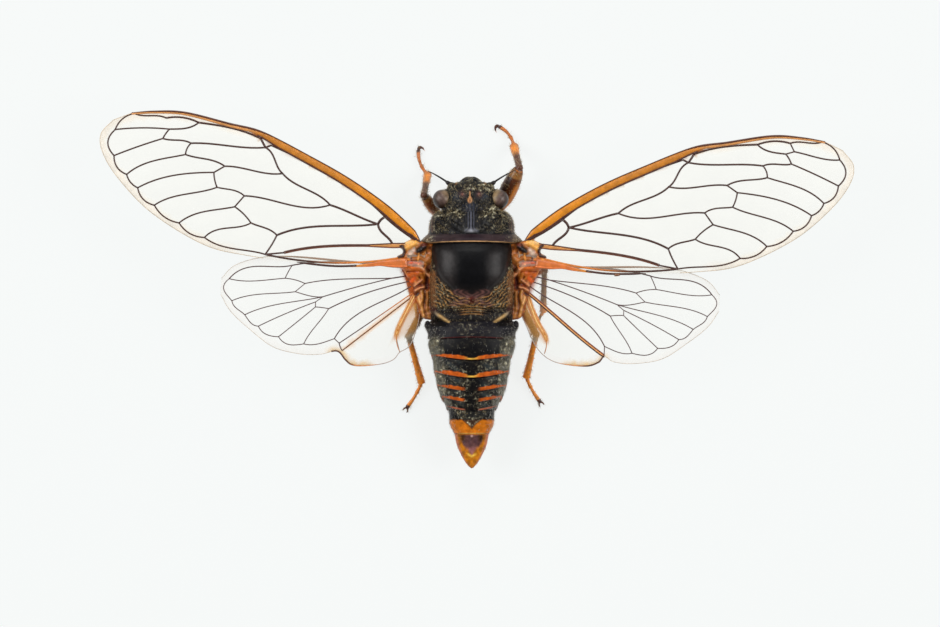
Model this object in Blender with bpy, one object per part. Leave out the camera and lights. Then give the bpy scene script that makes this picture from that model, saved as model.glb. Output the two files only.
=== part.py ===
"""New Forest cicada (Cicadetta montana), female, a life-size still model with its wings spread.

+X is the insect's right, +Y runs from the tail to the head, +Z is up. The origin lies on the floor,
under the middle of the wings' and body's outline. Sizes below are in millimetres.
"""

import math

import bmesh
import bpy
import numpy as np
from mathutils import Vector
from mathutils.geometry import delaunay_2d_cdt

MM = 0.001
GAP = 0.3
MERGE_DISTANCE = 0.002 * MM
SHARP_ANGLE = 40

# Body: from the front of the face to the tail
HEAD_FRONT = 7.75
HEAD_REAR = 5.50
PRONOTUM_FRONT = HEAD_REAR - GAP
PRONOTUM_REAR = 3.24
MESOTHORAX_FRONT = PRONOTUM_REAR - GAP
MESOTHORAX_REAR = -1.22
METATHORAX_FRONT = MESOTHORAX_REAR - GAP
METATHORAX_REAR = -2.02
ABDOMEN_FRONT = METATHORAX_REAR - GAP
ABDOMEN_REAR = -8.20
TIP_FRONT = ABDOMEN_REAR - GAP
TIP_REAR = -12.25

THORAX_SIDE = 2.85
COLLAR_SIDE = 3.44
BODY_SIDES = 30
BACK_FULLNESS = 2.4
BELLY_FULLNESS = 2.2
HEAD_SHIFT = -0.07
HEAD_BULGE = 0.1

EYE_RADIUS = 0.66
SOCKET_GAP = 0.32
EYE_PLACE = (1.93, 6.18, 3.95)

# Face: a swollen plate with cross ridges, a lip below it, plates over the feelers, three small eyes
FACE_MIDDLE = (HEAD_SHIFT, 6.72, 3.15)
FACE_RADII = (0.98, HEAD_FRONT - 6.72, 1.45)
FACE_RIDGE_DEPTH = 0.045
FACE_RINGS = 20
LIP_MIDDLE = (HEAD_SHIFT, 6.55, 2.05)
LIP_RADII = (0.55, 0.62, 0.62)
BROW_PLACE = (1.08, 7.02, 4.02)
BROW_RADII = (0.46, 0.30, 0.22)
OCELLUS_RADIUS = 0.15
OCELLI = ((-0.56, 6.50, 4.80), (0.56, 6.50, 4.80), (0.0, 6.80, 4.70))

# Each row: Y, half width, top, widest height, belly
CRANIUM = (
    (HEAD_REAR, 2.05, 4.95, 3.7, 2.0),
    (6.05, 2.05, 4.98, 3.7, 1.9),
    (6.60, 1.92, 4.80, 3.6, 2.0),
    (6.95, 1.72, 4.62, 3.5, 2.2),
    (7.22, 1.35, 4.38, 3.45, 2.5),
    (7.38, 0.95, 4.15, 3.4, 2.8),
)
PRONOTUM = (
    (PRONOTUM_FRONT, 2.52, 5.20, 3.7, 1.9),
    (4.95, 2.76, 5.42, 3.8, 1.6),
    (4.40, 2.93, 5.62, 3.8, 1.35),
    (3.90, 2.92, 5.78, 3.9, 1.25),
    (3.70, 3.08, 5.86, 3.9, 1.25),
    (3.52, 3.30, 6.00, 4.0, 1.25),
    (3.34, COLLAR_SIDE, 6.06, 4.0, 1.25),
    (PRONOTUM_REAR, COLLAR_SIDE - 0.14, 6.04, 4.0, 1.3),
)
MESOTHORAX = (
    (MESOTHORAX_FRONT, 2.70, 6.02, 4.1, 1.25),
    (2.55, THORAX_SIDE, 6.24, 4.1, 1.2),
    (1.80, THORAX_SIDE, 6.42, 4.1, 1.15),
    (1.00, THORAX_SIDE, 6.44, 4.1, 1.15),
    (0.30, THORAX_SIDE, 6.26, 4.1, 1.15),
    (-0.10, THORAX_SIDE, 6.02, 4.1, 1.15),
    (-0.70, THORAX_SIDE, 5.86, 4.0, 1.15),
    (MESOTHORAX_REAR, THORAX_SIDE - 0.03, 5.66, 3.9, 1.2),
)
METATHORAX = (
    (METATHORAX_FRONT, 2.78, 5.36, 3.8, 1.2),
    (METATHORAX_REAR, 2.74, 5.40, 3.7, 1.25),
)

# Pronotum: a ridge along the middle between two furrows that run out and forwards, and a smooth collar
MIDDLE_RIDGE = (0.13, 0.34)
COLLAR_LENGTH = 0.5
COLLAR_FADE = 0.4
FURROW_ENDS = ((0.62, 3.95), (1.95, 4.85))
FURROW_DEPTH = 0.17
FURROW_WIDTH = 0.26
SIDE_FURROW_ENDS = ((1.55, 3.75), (2.45, 4.45))

# Mesothorax: a cross-shaped swelling at the rear of the shield, from its middle to four corners
CROSS_MIDDLE = (0.0, -0.66)
CROSS_CORNERS = ((1.02, -0.10), (1.22, -1.02))
CROSS_RADII = (0.36, 0.16)
CROSS_LIFT = 0.02
BOSS_RADII = (0.50, 0.40, 0.38)

# Y of the rear edge of each ring of the abdomen
ABDOMEN_RINGS = (-3.24, -4.72, -5.96, -6.92, -7.66, ABDOMEN_REAR)
TIP_RINGS = (-9.86,)
RING_STEP = 0.09
RING_LIP = 0.05
RING_CLEARANCE = 0.15
# Each row: Y, half width, top, widest height, belly, as smooth curves under the rings' edges
ABDOMEN_SHAPE = (
    (ABDOMEN_FRONT, 3.05, 5.50, 3.5, 1.25),
    (-2.55, 3.19, 5.62, 3.5, 1.2),
    (-2.95, 2.97, 5.72, 3.5, 1.2),
    (-3.80, 2.97, 5.72, 3.45, 1.15),
    (-5.16, 2.67, 5.50, 3.4, 1.2),
    (-6.45, 2.44, 5.20, 3.3, 1.3),
    (-7.34, 2.19, 4.92, 3.2, 1.4),
    (-8.02, 1.80, 4.66, 3.1, 1.5),
    (TIP_FRONT, 1.60, 4.46, 3.0, 1.55),
    (-9.25, 1.48, 4.10, 2.9, 1.6),
    (-9.86, 1.18, 3.78, 2.8, 1.65),
    (-10.62, 1.02, 3.42, 2.7, 1.7),
    (-11.30, 0.72, 3.10, 2.55, 1.8),
    (-11.85, 0.42, 2.82, 2.45, 1.95),
    (TIP_REAR, 0.10, 2.52, 2.4, 2.25),
)

# Legs: the plate over each hip and the hip's X and Y under it
HIPS = {
    "foreleg": (PRONOTUM, 1.85, 4.75),
    "midleg": (MESOTHORAX, 1.90, 1.00),
    "hindleg": (MESOTHORAX, 1.90, -1.05),
}
# Trochanter, knee, ankle and toe as X, Y, Z
LEGS = {
    "foreleg_right": ((1.88, 5.50, 1.15), (3.27, 8.36, 2.55), (2.91, 9.86, 0.50), (1.90, 11.22, 0.21)),
    "foreleg_left": ((2.30, 5.15, 1.10), (3.27, 6.46, 2.75), (3.03, 7.92, 0.50), (3.67, 9.60, 0.21)),
    "midleg_right": ((2.80, 1.10, 0.95), (4.98, 1.30, 2.25), (4.92, -1.50, 0.50), (4.30, -2.95, 0.21)),
    "midleg_left": ((2.80, 1.10, 0.95), (4.55, 1.40, 2.25), (3.95, -0.85, 0.50), (3.80, -2.20, 0.21)),
    "hindleg_right": ((3.30, -0.95, 0.95), (4.42, -3.08, 2.10), (3.76, -6.02, 0.50), (4.66, -7.66, 0.21)),
    "hindleg_left": ((3.02, -0.88, 1.05), (4.32, -3.20, 2.10), (3.45, -6.40, 0.50), (4.42, -8.06, 0.21)),
}
HIP_GAP = 0.37
HIP_RADIUS = 0.40
TROCHANTER_RADIUS = 0.34
FORE_FEMUR_RADIUS = {"foreleg_right": 0.56, "foreleg_left": 0.42}
FEMUR_RADIUS = 0.34
# Along the femur: share of its length, and its thickness there as a share of the greatest
FEMUR_SHAPE = ((0.28, 0.86), (0.58, 1.0), (0.86, 0.84))
KNEE_RADIUS = 0.27
SHIN_RADIUS = 0.25
JOINT_SWELLING = 1.02
CLAW_LENGTH = 0.42
CLAW_RADIUS = 0.12
CLAW_DROP = 0.07
CLAW_SPREAD = 28
SPINE_LENGTH = 0.42
SPINE_RADIUS = 0.11
SPIKE_TIP = 0.15
SPINE_PLACES = {"foreleg": (0.45, 0.75), "midleg": (), "hindleg": (0.35, 0.62, 0.90)}

# Feelers and beak: each row is X, Y, Z, radius
ANTENNA = ((1.72, 7.46, 3.52, 0.25), (2.20, 7.72, 3.66, 0.21), (2.98, 8.14, 3.90, 0.09))
ROSTRUM = (
    (HEAD_SHIFT, 6.70, 0.82, 0.28),
    (-0.03, 5.40, 0.72, 0.27),
    (0.0, 3.60, 0.62, 0.25),
    (0.0, 2.70, 0.55, 0.12),
)
OVIPOSITOR = ((0.0, -8.70, 0.95, 0.25), (0.0, -10.40, 1.02, 0.25), (0.0, -12.00, 1.55, 0.14))

# Wings: one surface for all four, with the hindwings a step lower
WING_THICKNESS = 0.5
WING_ROOT_HEIGHT = 4.75
WING_RISE = 0.035
WING_DROOP = 0.012
DROOP_START = 2.0
HINDWING_STEP = 1.08
VEIN_HALF_WIDTH = 0.20
VEIN_HEIGHT = 0.12
VEIN_SPACING = 1.3
FOOT_SPACING = 0.6 * VEIN_HALF_WIDTH
SIDE_CLEARANCE = 0.93 * VEIN_HALF_WIDTH
MARGIN_CLEARANCE = 0.10
NARROW_CORNER = 0.17
WIDE_CORNER = 0.7
FRONT_RIDGE_START = 3
SWAY_PEAK = 10.39
PLAN_TOLERANCE = 0.0001

# Hinge X, hinge Y, and how far the wing points forward, in degrees
WINGS = {
    "forewing_right": (3.57, 3.38, 12.5),
    "forewing_left": (3.44, 3.31, 18.3),
    "hindwing_right": (3.84, 1.06, -25.0),
    "hindwing_left": (3.92, 1.06, -20.0),
}

# Forewing in its own plane: X from the hinge to the tip, Y towards the leading edge
FOREWING_LEADING_EDGE = (
    (-0.52, -0.45),
    (0.18, -0.22),
    (0.46, 0.36),
    (1.00, 0.78),
    (3.00, 1.62),
    (6.00, 2.50),
    (9.00, 3.10),
    (12.50, 3.64),
    (15.00, 3.48),
    (18.00, 3.26),
    (20.00, 2.70),
    (21.50, 2.10),
)
FOREWING_TRAILING_EDGE = (
    (22.55, 1.25),
    (23.05, 0.05),
    (22.50, -1.15),
    (20.90, -2.50),
    (18.00, -4.00),
    (14.00, -4.92),
    (11.00, -4.70),
    (8.00, -4.15),
    (5.00, -3.50),
    (2.50, -2.55),
    (0.90, -2.00),
    (-0.70, -1.75),
)
FOREWING_JOINTS = {
    "root": (0.55, 0.02),
    "arc_front": (2.85, 0.80),
    "arc": (3.17, 0.17),
    "arc_rear": (1.85, -0.60),
    "node": (11.75, 3.00),
    "node_low": (12.10, 2.72),
    "node_out": (12.60, 3.20),
    "m_fork": (6.68, 0.38),
    "m_front": (10.43, 1.40),
    "cu_fork": (9.48, -2.72),
    "anal_root": (0.90, -0.62),
    "anal_end": (8.65, -3.70),
    "hind_root": (0.62, -1.35),
    "tornus": (9.83, -4.15),
    "p1": (16.95, 2.90),
    "p2": (19.15, 2.50),
    "p3": (18.70, 1.85),
    "p4": (19.30, 1.88),
    "p5": (18.93, 1.10),
    "p6": (17.00, 1.40),
    "p7": (17.12, 0.55),
    "p8": (14.33, 0.63),
    "p9": (14.90, 0.00),
    "p10": (14.38, -0.90),
    "p11": (12.43, -0.87),
    "p12": (12.82, -1.78),
    "p13": (11.42, -2.48),
    "e0": (21.20, 2.05),
    "e1": (22.20, 0.66),
    "e2": (21.72, -1.05),
    "e3": (20.50, -2.00),
    "e4": (19.50, -2.63),
    "e5": (18.05, -3.40),
    "e6": (16.07, -4.02),
    "e7": (14.12, -4.42),
}
# Each vein: from, to, how far its middle bows towards the leading edge side of its run, and its sway
FOREWING_VEINS = (
    ("root", "arc_front", -0.07, 0.0),
    ("arc_front", "node", 0.44, 0.05),
    ("node", "node_low", 0.0, 0.0),
    ("node_low", "node_out", 0.0, 0.0),
    ("node_out", "p1", 0.19, 0.02),
    ("p1", "p2", 0.19, 0.0),
    ("p2", "e0", 0.0, 0.06),
    ("arc_front", "arc", 0.07, 0.0),
    ("arc", "arc_rear", 0.07, 0.07),
    ("arc", "m_fork", 0.0, 0.0),
    ("m_fork", "m_front", 0.0, 0.11),
    ("m_front", "node_low", 0.07, -0.09),
    ("arc", "cu_fork", 0.25, -0.11),
    ("cu_fork", "tornus", 0.0, 0.0),
    ("anal_root", "anal_end", 0.23, -0.07),
    ("arc_rear", "anal_root", 0.0, 0.0),
    ("anal_end", "tornus", 0.0, 0.0),
    ("anal_root", "hind_root", 0.0, 0.0),
    ("hind_root", "tornus", -0.50, 0.0),
    ("node_low", "p6", 0.0, -0.06),
    ("m_front", "p8", -0.06, -0.08),
    ("m_fork", "p11", -0.26, -0.15),
    ("cu_fork", "p13", 0.10, 0.04),
    ("p1", "p3", -0.18, 0.0),
    ("p3", "p5", 0.0, 0.0),
    ("p6", "p5", 0.05, 0.05),
    ("p6", "p7", 0.09, 0.0),
    ("p8", "p7", 0.10, 0.06),
    ("p8", "p9", 0.0, 0.0),
    ("p9", "p10", 0.05, 0.0),
    ("p11", "p10", 0.13, 0.04),
    ("p11", "p12", 0.0, 0.0),
    ("p13", "p12", 0.08, 0.0),
    ("p5", "e2", 0.04, 0.0),
    ("p7", "e3", 0.28, -0.06),
    ("p9", "e4", 0.34, -0.03),
    ("p10", "e5", 0.14, -0.09),
    ("p12", "e6", 0.25, -0.07),
    ("p13", "e7", 0.15, -0.13),
    ("e0", "e1", 0.24, 0.0),
    ("e1", "e2", 0.46, 0.0),
    ("e2", "e3", 0.27, 0.0),
    ("e3", "e4", 0.14, 0.0),
    ("e4", "e5", 0.27, 0.0),
    ("e5", "e6", 0.25, 0.0),
    ("e6", "e7", 0.26, 0.0),
    ("e7", "tornus", 0.20, 0.09),
)
# The right forewing has one small cell more than the left
FOREWING_ONE_SIDE = {
    "right": (("p2", "p4", 0.0, 0.0), ("p3", "p4", 0.0, 0.0), ("p4", "e1", -0.11, 0.04)),
    "left": (("p3", "e1", 0.10, 0.0),),
}

HINDWING_LEADING_EDGE = (
    (-0.95, 0.45),
    (0.20, 0.75),
    (2.00, 1.55),
    (4.00, 2.45),
    (7.00, 3.85),
    (9.30, 4.65),
    (11.30, 4.78),
    (12.50, 4.25),
)
HINDWING_TRAILING_EDGE = (
    (12.93, 3.20),
    (12.70, 1.90),
    (11.90, 0.30),
    (10.80, -1.40),
    (9.20, -2.50),
    (7.90, -2.98),
    (7.15, -2.92),
    (6.95, -3.45),
    (6.20, -4.08),
    (4.20, -4.70),
    (2.70, -4.35),
    (1.30, -3.20),
    (0.45, -2.45),
)
HINDWING_JOINTS = {
    "front_root": (0.30, 0.45),
    "m_root": (0.30, 0.02),
    "m_fork": (1.50, 0.25),
    "cu_root": (0.30, -0.38),
    "anal_root": (0.35, -0.70),
    "fold_root": (0.35, -1.10),
    "fold_end": (7.00, -2.78),
    "lobe_root": (0.60, -1.70),
    "lobe_end": (3.20, -4.20),
    "k1": (7.65, 3.42),
    "k2": (8.40, 2.75),
    "k3": (7.25, 1.95),
    "k4": (8.07, 1.65),
    "k5": (6.40, 0.68),
    "k6": (7.00, 0.52),
    "k7": (7.13, 0.20),
    "k8": (6.32, -0.22),
    "b1": (12.00, 4.03),
    "b2": (12.35, 2.55),
    "b3": (11.85, 1.35),
    "b4": (11.25, 0.30),
    "b5": (10.20, -0.85),
    "b6": (8.75, -1.90),
    "b7": (6.85, -2.27),
}
HINDWING_VEINS = (
    ("front_root", "k1", 0.22, -0.06),
    ("m_root", "m_fork", 0.0, 0.0),
    ("m_fork", "k3", 0.13, -0.04),
    ("m_fork", "k5", 0.05, 0.0),
    ("cu_root", "k8", 0.19, 0.0),
    ("anal_root", "b7", 0.41, -0.15),
    ("fold_root", "fold_end", -0.05, 0.03),
    ("lobe_root", "lobe_end", 0.35, 0.0),
    ("k1", "k2", 0.0, 0.0),
    ("k3", "k2", 0.07, 0.0),
    ("k3", "k4", 0.0, 0.0),
    ("k5", "k4", -0.10, 0.0),
    ("k5", "k6", 0.0, 0.0),
    ("k6", "k7", 0.0, 0.0),
    ("k8", "k7", 0.0, 0.0),
    ("k1", "b1", 0.40, -0.17),
    ("k2", "b1", -0.16, 0.04),
    ("k4", "b2", 0.16, -0.06),
    ("k5", "b3", 0.17, -0.06),
    ("k6", "b4", 0.06, 0.0),
    ("k7", "b5", 0.0, 0.0),
    ("k8", "b6", 0.04, 0.0),
    ("b1", "b2", 0.44, 0.08),
    ("b2", "b3", 0.11, 0.04),
    ("b3", "b4", 0.15, 0.0),
    ("b4", "b5", 0.24, 0.0),
    ("b5", "b6", 0.31, 0.04),
    ("b6", "b7", 0.16, 0.03),
    ("b7", "fold_end", 0.0, 0.0),
)

COLOURS = {
    "black": ((0.018, 0.016, 0.015, 1.0), 0.45),
    "amber": ((0.55, 0.22, 0.03, 1.0), 0.4),
    "membrane": ((0.82, 0.80, 0.72, 1.0), 0.2),
    "eye": ((0.09, 0.06, 0.05, 1.0), 0.2),
}


def material(name):
    """The named Principled material, made on its first use."""
    found = bpy.data.materials.get(name)
    if found:
        return found
    made = bpy.data.materials.new(name)
    made.use_nodes = True
    shader = made.node_tree.nodes["Principled BSDF"]
    colour, roughness = COLOURS[name]
    shader.inputs["Base Color"].default_value = colour
    shader.inputs["Roughness"].default_value = roughness
    shader.inputs["Metallic"].default_value = 0.0
    return made


def finished(name, shape, colour, collection):
    """An object from a bmesh, with its faces turned outwards."""
    bmesh.ops.recalc_face_normals(shape, faces=shape.faces)
    mesh = bpy.data.meshes.new(name)
    shape.to_mesh(mesh)
    shape.free()
    mesh.materials.append(material(colour))
    obj = bpy.data.objects.new(name, mesh)
    collection.objects.link(obj)
    return obj


def solid(name, points, faces, colour, collection):
    """An object from points in millimetres."""
    mesh = bpy.data.meshes.new(name)
    mesh.from_pydata([tuple(MM * value for value in point) for point in points], [], faces)
    shape = bmesh.new()
    shape.from_mesh(mesh)
    bpy.data.meshes.remove(mesh)
    return finished(name, shape, colour, collection)


def smooth(obj):
    obj.data.shade_smooth()
    obj.data.set_sharp_from_angle(angle=math.radians(SHARP_ANGLE))


def helpers(name):
    """A new collection for the pieces of one node."""
    made = bpy.data.collections.new(name)
    bpy.context.scene.collection.children.link(made)
    return made


def keep_largest_surface(shape):
    """Leaves only the biggest connected closed surface of a bmesh."""
    seen, groups = set(), []
    for first in shape.faces:
        if first in seen:
            continue
        seen.add(first)
        group, waiting = [], [first]
        while waiting:
            face = waiting.pop()
            group.append(face)
            for near in (near for edge in face.edges for near in edge.link_faces):
                if near not in seen:
                    seen.add(near)
                    waiting.append(near)
        groups.append(group)
    groups.sort(key=lambda group: sum(face.calc_area() for face in group))
    scraps = [face for group in groups[:-1] for face in group]
    bmesh.ops.delete(shape, geom=scraps, context="FACES")


def apply_boolean(obj, collection, operation):
    """Joins to the object, or cuts from it, every object of a collection, which is then removed."""
    change = obj.modifiers.new("join", "BOOLEAN")
    change.operand_type = "COLLECTION"
    change.collection = collection
    change.operation = operation
    change.solver = "EXACT"
    bpy.context.view_layer.update()
    graph = bpy.context.evaluated_depsgraph_get()
    mesh = bpy.data.meshes.new_from_object(obj.evaluated_get(graph))
    obj.modifiers.clear()
    obj.data = mesh
    for other in list(collection.objects):
        bpy.data.objects.remove(other, do_unlink=True)
    bpy.data.collections.remove(collection)
    shape = bmesh.new()
    shape.from_mesh(mesh)
    bmesh.ops.triangulate(shape, faces=shape.faces)
    bmesh.ops.remove_doubles(shape, verts=shape.verts, dist=MERGE_DISTANCE)
    bmesh.ops.dissolve_degenerate(shape, edges=shape.edges, dist=MERGE_DISTANCE)
    bmesh.ops.triangulate(shape, faces=shape.faces)
    keep_largest_surface(shape)
    shape.to_mesh(mesh)
    shape.free()


def spline(stations, samples):
    """A smooth curve through the stations, with each stretch cut into the given number of steps."""
    rows = np.array(stations, float)
    padded = np.vstack((2 * rows[0] - rows[1], rows, 2 * rows[-1] - rows[-2]))
    made = []
    for index in range(len(rows) - 1):
        before, here, there, after = padded[index : index + 4]
        for t in np.arange(samples) / samples:
            linear = 2 * here + (there - before) * t
            curved = (2 * before - 5 * here + 4 * there - after) * t**2
            made.append(0.5 * (linear + curved + (3 * here - before - 3 * there + after) * t**3))
    made.append(rows[-1])
    return np.array(made)


def row_at(rows, y):
    """The half width, top, widest height and belly of a body piece at a place along it."""
    table = np.array(rows)[::-1]
    return [float(np.interp(y, table[:, 0], table[:, column])) for column in range(1, 5)]


def back_height(rows, x, y):
    half_width, top, widest, _ = row_at(rows, y)
    share = min(1.0, abs(x) / half_width)
    return widest + (top - widest) * (1 - share**BACK_FULLNESS) ** (1 / BACK_FULLNESS)


def under_belly(rows, x, y, reach):
    """A point that lies a given way outside the belly, straight out from it at X and Y."""
    half_width, _, widest, belly = row_at(rows, y)
    drop = (1 - (abs(x) / half_width) ** BELLY_FULLNESS) ** (1 / BELLY_FULLNESS)
    out = np.array((abs(x) / half_width**2, -drop / (widest - belly)))
    out /= np.linalg.norm(out)
    return (x + math.copysign(reach * out[0], x), y, widest - (widest - belly) * drop + reach * out[1])


def ring(row, sides=BODY_SIDES, relief=None):
    """One cross-section of the body: a rounded box that is widest at its own height."""
    y, half_width, top, widest, belly = row
    points = []
    for angle in 2 * math.pi * np.arange(sides) / sides:
        across, up = math.cos(angle), math.sin(angle)
        power = 2 / (BACK_FULLNESS if up > 0 else BELLY_FULLNESS)
        x = half_width * math.copysign(abs(across) ** power, across)
        reach = (top - widest) if up > 0 else (widest - belly)
        z = widest + reach * math.copysign(abs(up) ** power, up)
        if relief and up > 0:
            z += relief(x, y) * up
        points.append((x, y, z))
    return points


def loft(name, rings, colour, collection, front_bulge=0.0, rear_bulge=0.0):
    """A closed body through equal rings, each end closed by a fan that may bulge along Y."""
    sides = len(rings[0])
    points = [point for section in rings for point in section]
    faces = []
    for row in range(len(rings) - 1):
        for step in range(sides):
            here, there = row * sides + step, row * sides + (step + 1) % sides
            faces.append((here, there, there + sides, here + sides))
    for row, bulge in ((0, front_bulge), (len(rings) - 1, rear_bulge)):
        middle = np.mean(rings[row], axis=0) + np.array((0.0, bulge, 0.0))
        points.append(tuple(middle))
        for step in range(sides):
            here, there = row * sides + step, row * sides + (step + 1) % sides
            faces.append((here, there, len(points) - 1))
    return solid(name, points, faces, colour, collection)


def tube(name, stations, colour, collection, samples=1):
    """A tapering round limb: a curve with a radius at each station, made a closed mesh."""
    data = bpy.data.curves.new(name, "CURVE")
    data.dimensions = "3D"
    data.bevel_depth = MM
    data.bevel_resolution = 2
    data.use_fill_caps = True
    line = data.splines.new("POLY")
    rows = spline(stations, samples)
    line.points.add(len(rows) - 1)
    for point, (x, y, z, radius) in zip(line.points, rows):
        point.co = (x * MM, y * MM, z * MM, 1.0)
        point.radius = radius
    guide = bpy.data.objects.new(name, data)
    collection.objects.link(guide)
    bpy.context.view_layer.update()
    graph = bpy.context.evaluated_depsgraph_get()
    mesh = bpy.data.meshes.new_from_object(guide.evaluated_get(graph))
    bpy.data.objects.remove(guide, do_unlink=True)
    bpy.data.curves.remove(data)
    shape = bmesh.new()
    shape.from_mesh(mesh)
    bpy.data.meshes.remove(mesh)
    bmesh.ops.remove_doubles(shape, verts=shape.verts, dist=MERGE_DISTANCE)
    return finished(name, shape, colour, collection)


def ball(name, place, radii, colour, collection, rings=8, segments=12, ridge_depth=0.0):
    """An ellipsoid, with every other ring drawn in where it has cross ridges."""
    shape = bmesh.new()
    bmesh.ops.create_uvsphere(shape, u_segments=segments, v_segments=rings, radius=1.0)
    for vertex in shape.verts:
        band = round(math.acos(max(-1.0, min(1.0, vertex.co.z))) / math.pi * rings)
        spread = 1 - ridge_depth * (band % 2)
        across, along, up = vertex.co
        offset = (radii[0] * spread * across, radii[1] * spread * along, radii[2] * up)
        vertex.co = MM * (Vector(place) + Vector(offset))
    return finished(name, shape, colour, collection)


def build_head(model):
    rings = [ring(row) for row in CRANIUM]
    rings = [[(x + HEAD_SHIFT, y, z) for x, y, z in section] for section in rings]
    head = loft("head", rings, "black", model, rear_bulge=HEAD_BULGE)
    parts = helpers("head pieces")
    ball("face", FACE_MIDDLE, FACE_RADII, "black", parts, FACE_RINGS, 18, FACE_RIDGE_DEPTH)
    ball("lip", LIP_MIDDLE, LIP_RADII, "black", parts)
    for side in (-1, 1):
        ball("brow", (side * BROW_PLACE[0] + HEAD_SHIFT, *BROW_PLACE[1:]), BROW_RADII, "black", parts, 6, 10)
    for x, y, z in OCELLI:
        ball("ocellus", (x + HEAD_SHIFT, y, z), [OCELLUS_RADIUS] * 3, "black", parts, 6, 8)
    apply_boolean(head, parts, "UNION")
    sockets = helpers("eye sockets")
    for side in (-1, 1):
        place = (side * EYE_PLACE[0] + HEAD_SHIFT, EYE_PLACE[1], EYE_PLACE[2])
        ball("socket", place, [EYE_RADIUS + SOCKET_GAP] * 3, "black", sockets)
    apply_boolean(head, sockets, "DIFFERENCE")
    smooth(head)


def build_eyes(model):
    for side, name in ((-1, "eye_left"), (1, "eye_right")):
        place = (side * EYE_PLACE[0] + HEAD_SHIFT, EYE_PLACE[1], EYE_PLACE[2])
        smooth(ball(name, place, [EYE_RADIUS] * 3, "eye", model))


def build_feelers(model):
    for side, name in ((-1, "antenna_left"), (1, "antenna_right")):
        stations = [(side * x + HEAD_SHIFT, y, z, radius) for x, y, z, radius in ANTENNA]
        smooth(tube(name, stations, "black", model, samples=2))
    smooth(tube("rostrum", ROSTRUM, "black", model, samples=2))
    smooth(tube("ovipositor", OVIPOSITOR, "amber", model, samples=2))


def distance_to_line(x, y, ends):
    """How far a point is from a straight furrow."""
    start, end = np.array(ends[0]), np.array(ends[1])
    run = end - start
    share = np.clip(np.dot(np.array((x, y)) - start, run) / np.dot(run, run), 0, 1)
    return float(np.linalg.norm(np.array((x, y)) - start - share * run))


def pronotum_relief(x, y):
    height, width = MIDDLE_RIDGE
    share = np.clip((y - PRONOTUM_REAR - COLLAR_LENGTH) / COLLAR_FADE, 0, 1)
    ridge = height * math.exp(-((x / width) ** 2))
    furrows = [
        math.exp(-((distance_to_line(abs(x), y, ends) / FURROW_WIDTH) ** 2))
        for ends in (FURROW_ENDS, SIDE_FURROW_ENDS)
    ]
    return share * (ridge - FURROW_DEPTH * max(furrows))


def build_pronotum(model):
    rows = spline(PRONOTUM, 2)
    smooth(loft("pronotum", [ring(row, BODY_SIDES + 6, pronotum_relief) for row in rows], "black", model))


def build_mesothorax(model):
    rows = spline(MESOTHORAX, 1)
    shield = loft("mesothorax", [ring(row) for row in rows], "black", model)
    parts = helpers("cross")
    thick, thin = CROSS_RADII
    for side in (-1, 1):
        for x, y in CROSS_CORNERS:
            ends = (*CROSS_MIDDLE, thick), (side * x, y, thin)
            heights = [back_height(MESOTHORAX, px, py) + CROSS_LIFT for px, py, _ in ends]
            stations = [(px, py, height, radius) for (px, py, radius), height in zip(ends, heights)]
            tube("arm", stations, "black", parts)
    middle = (*CROSS_MIDDLE, back_height(MESOTHORAX, *CROSS_MIDDLE))
    ball("boss", middle, BOSS_RADII, "black", parts)
    apply_boolean(shield, parts, "UNION")
    smooth(shield)


def shrunk(row, by):
    """The same cross-section drawn in, by half as much at the belly."""
    y, half_width, top, widest, belly = row
    return (y, half_width - by, top - by, widest, belly + by / 2)


def ringed_rows(front, rear, ring_ends):
    """Cross-sections of overlapping rings: behind each ring's edge, the next starts a step further in."""
    inner = [row[0] for row in ABDOMEN_SHAPE if rear < row[0] < front]
    places = [front]
    steps = []
    begin = front
    for end in (*ring_ends, rear):
        places += [y for y in inner if end + RING_CLEARANCE < y < begin - RING_CLEARANCE]
        if end > rear:
            places += [end, end - RING_LIP]
            steps.append(end - RING_LIP)
        begin = end
    places.append(rear)
    return [shrunk((y, *row_at(ABDOMEN_SHAPE, y)), RING_STEP * (y in steps)) for y in places]


def build_abdomen(model):
    rings = [ring(row) for row in ringed_rows(ABDOMEN_FRONT, ABDOMEN_REAR, ABDOMEN_RINGS)]
    smooth(loft("abdomen", rings, "black", model))
    rings = [ring(row, BODY_SIDES - 6) for row in ringed_rows(TIP_FRONT, TIP_REAR, TIP_RINGS)]
    smooth(loft("abdomen_tip", rings, "amber", model))


def spike(name, root, way, length, radius, colour, collection):
    """A small pointed spine or claw, from a root that lies inside the limb."""
    tip = np.array(root) + length * np.array(way) / np.linalg.norm(way)
    tube(name, ((*root, radius), (*tip, radius * SPIKE_TIP)), colour, collection)


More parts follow.
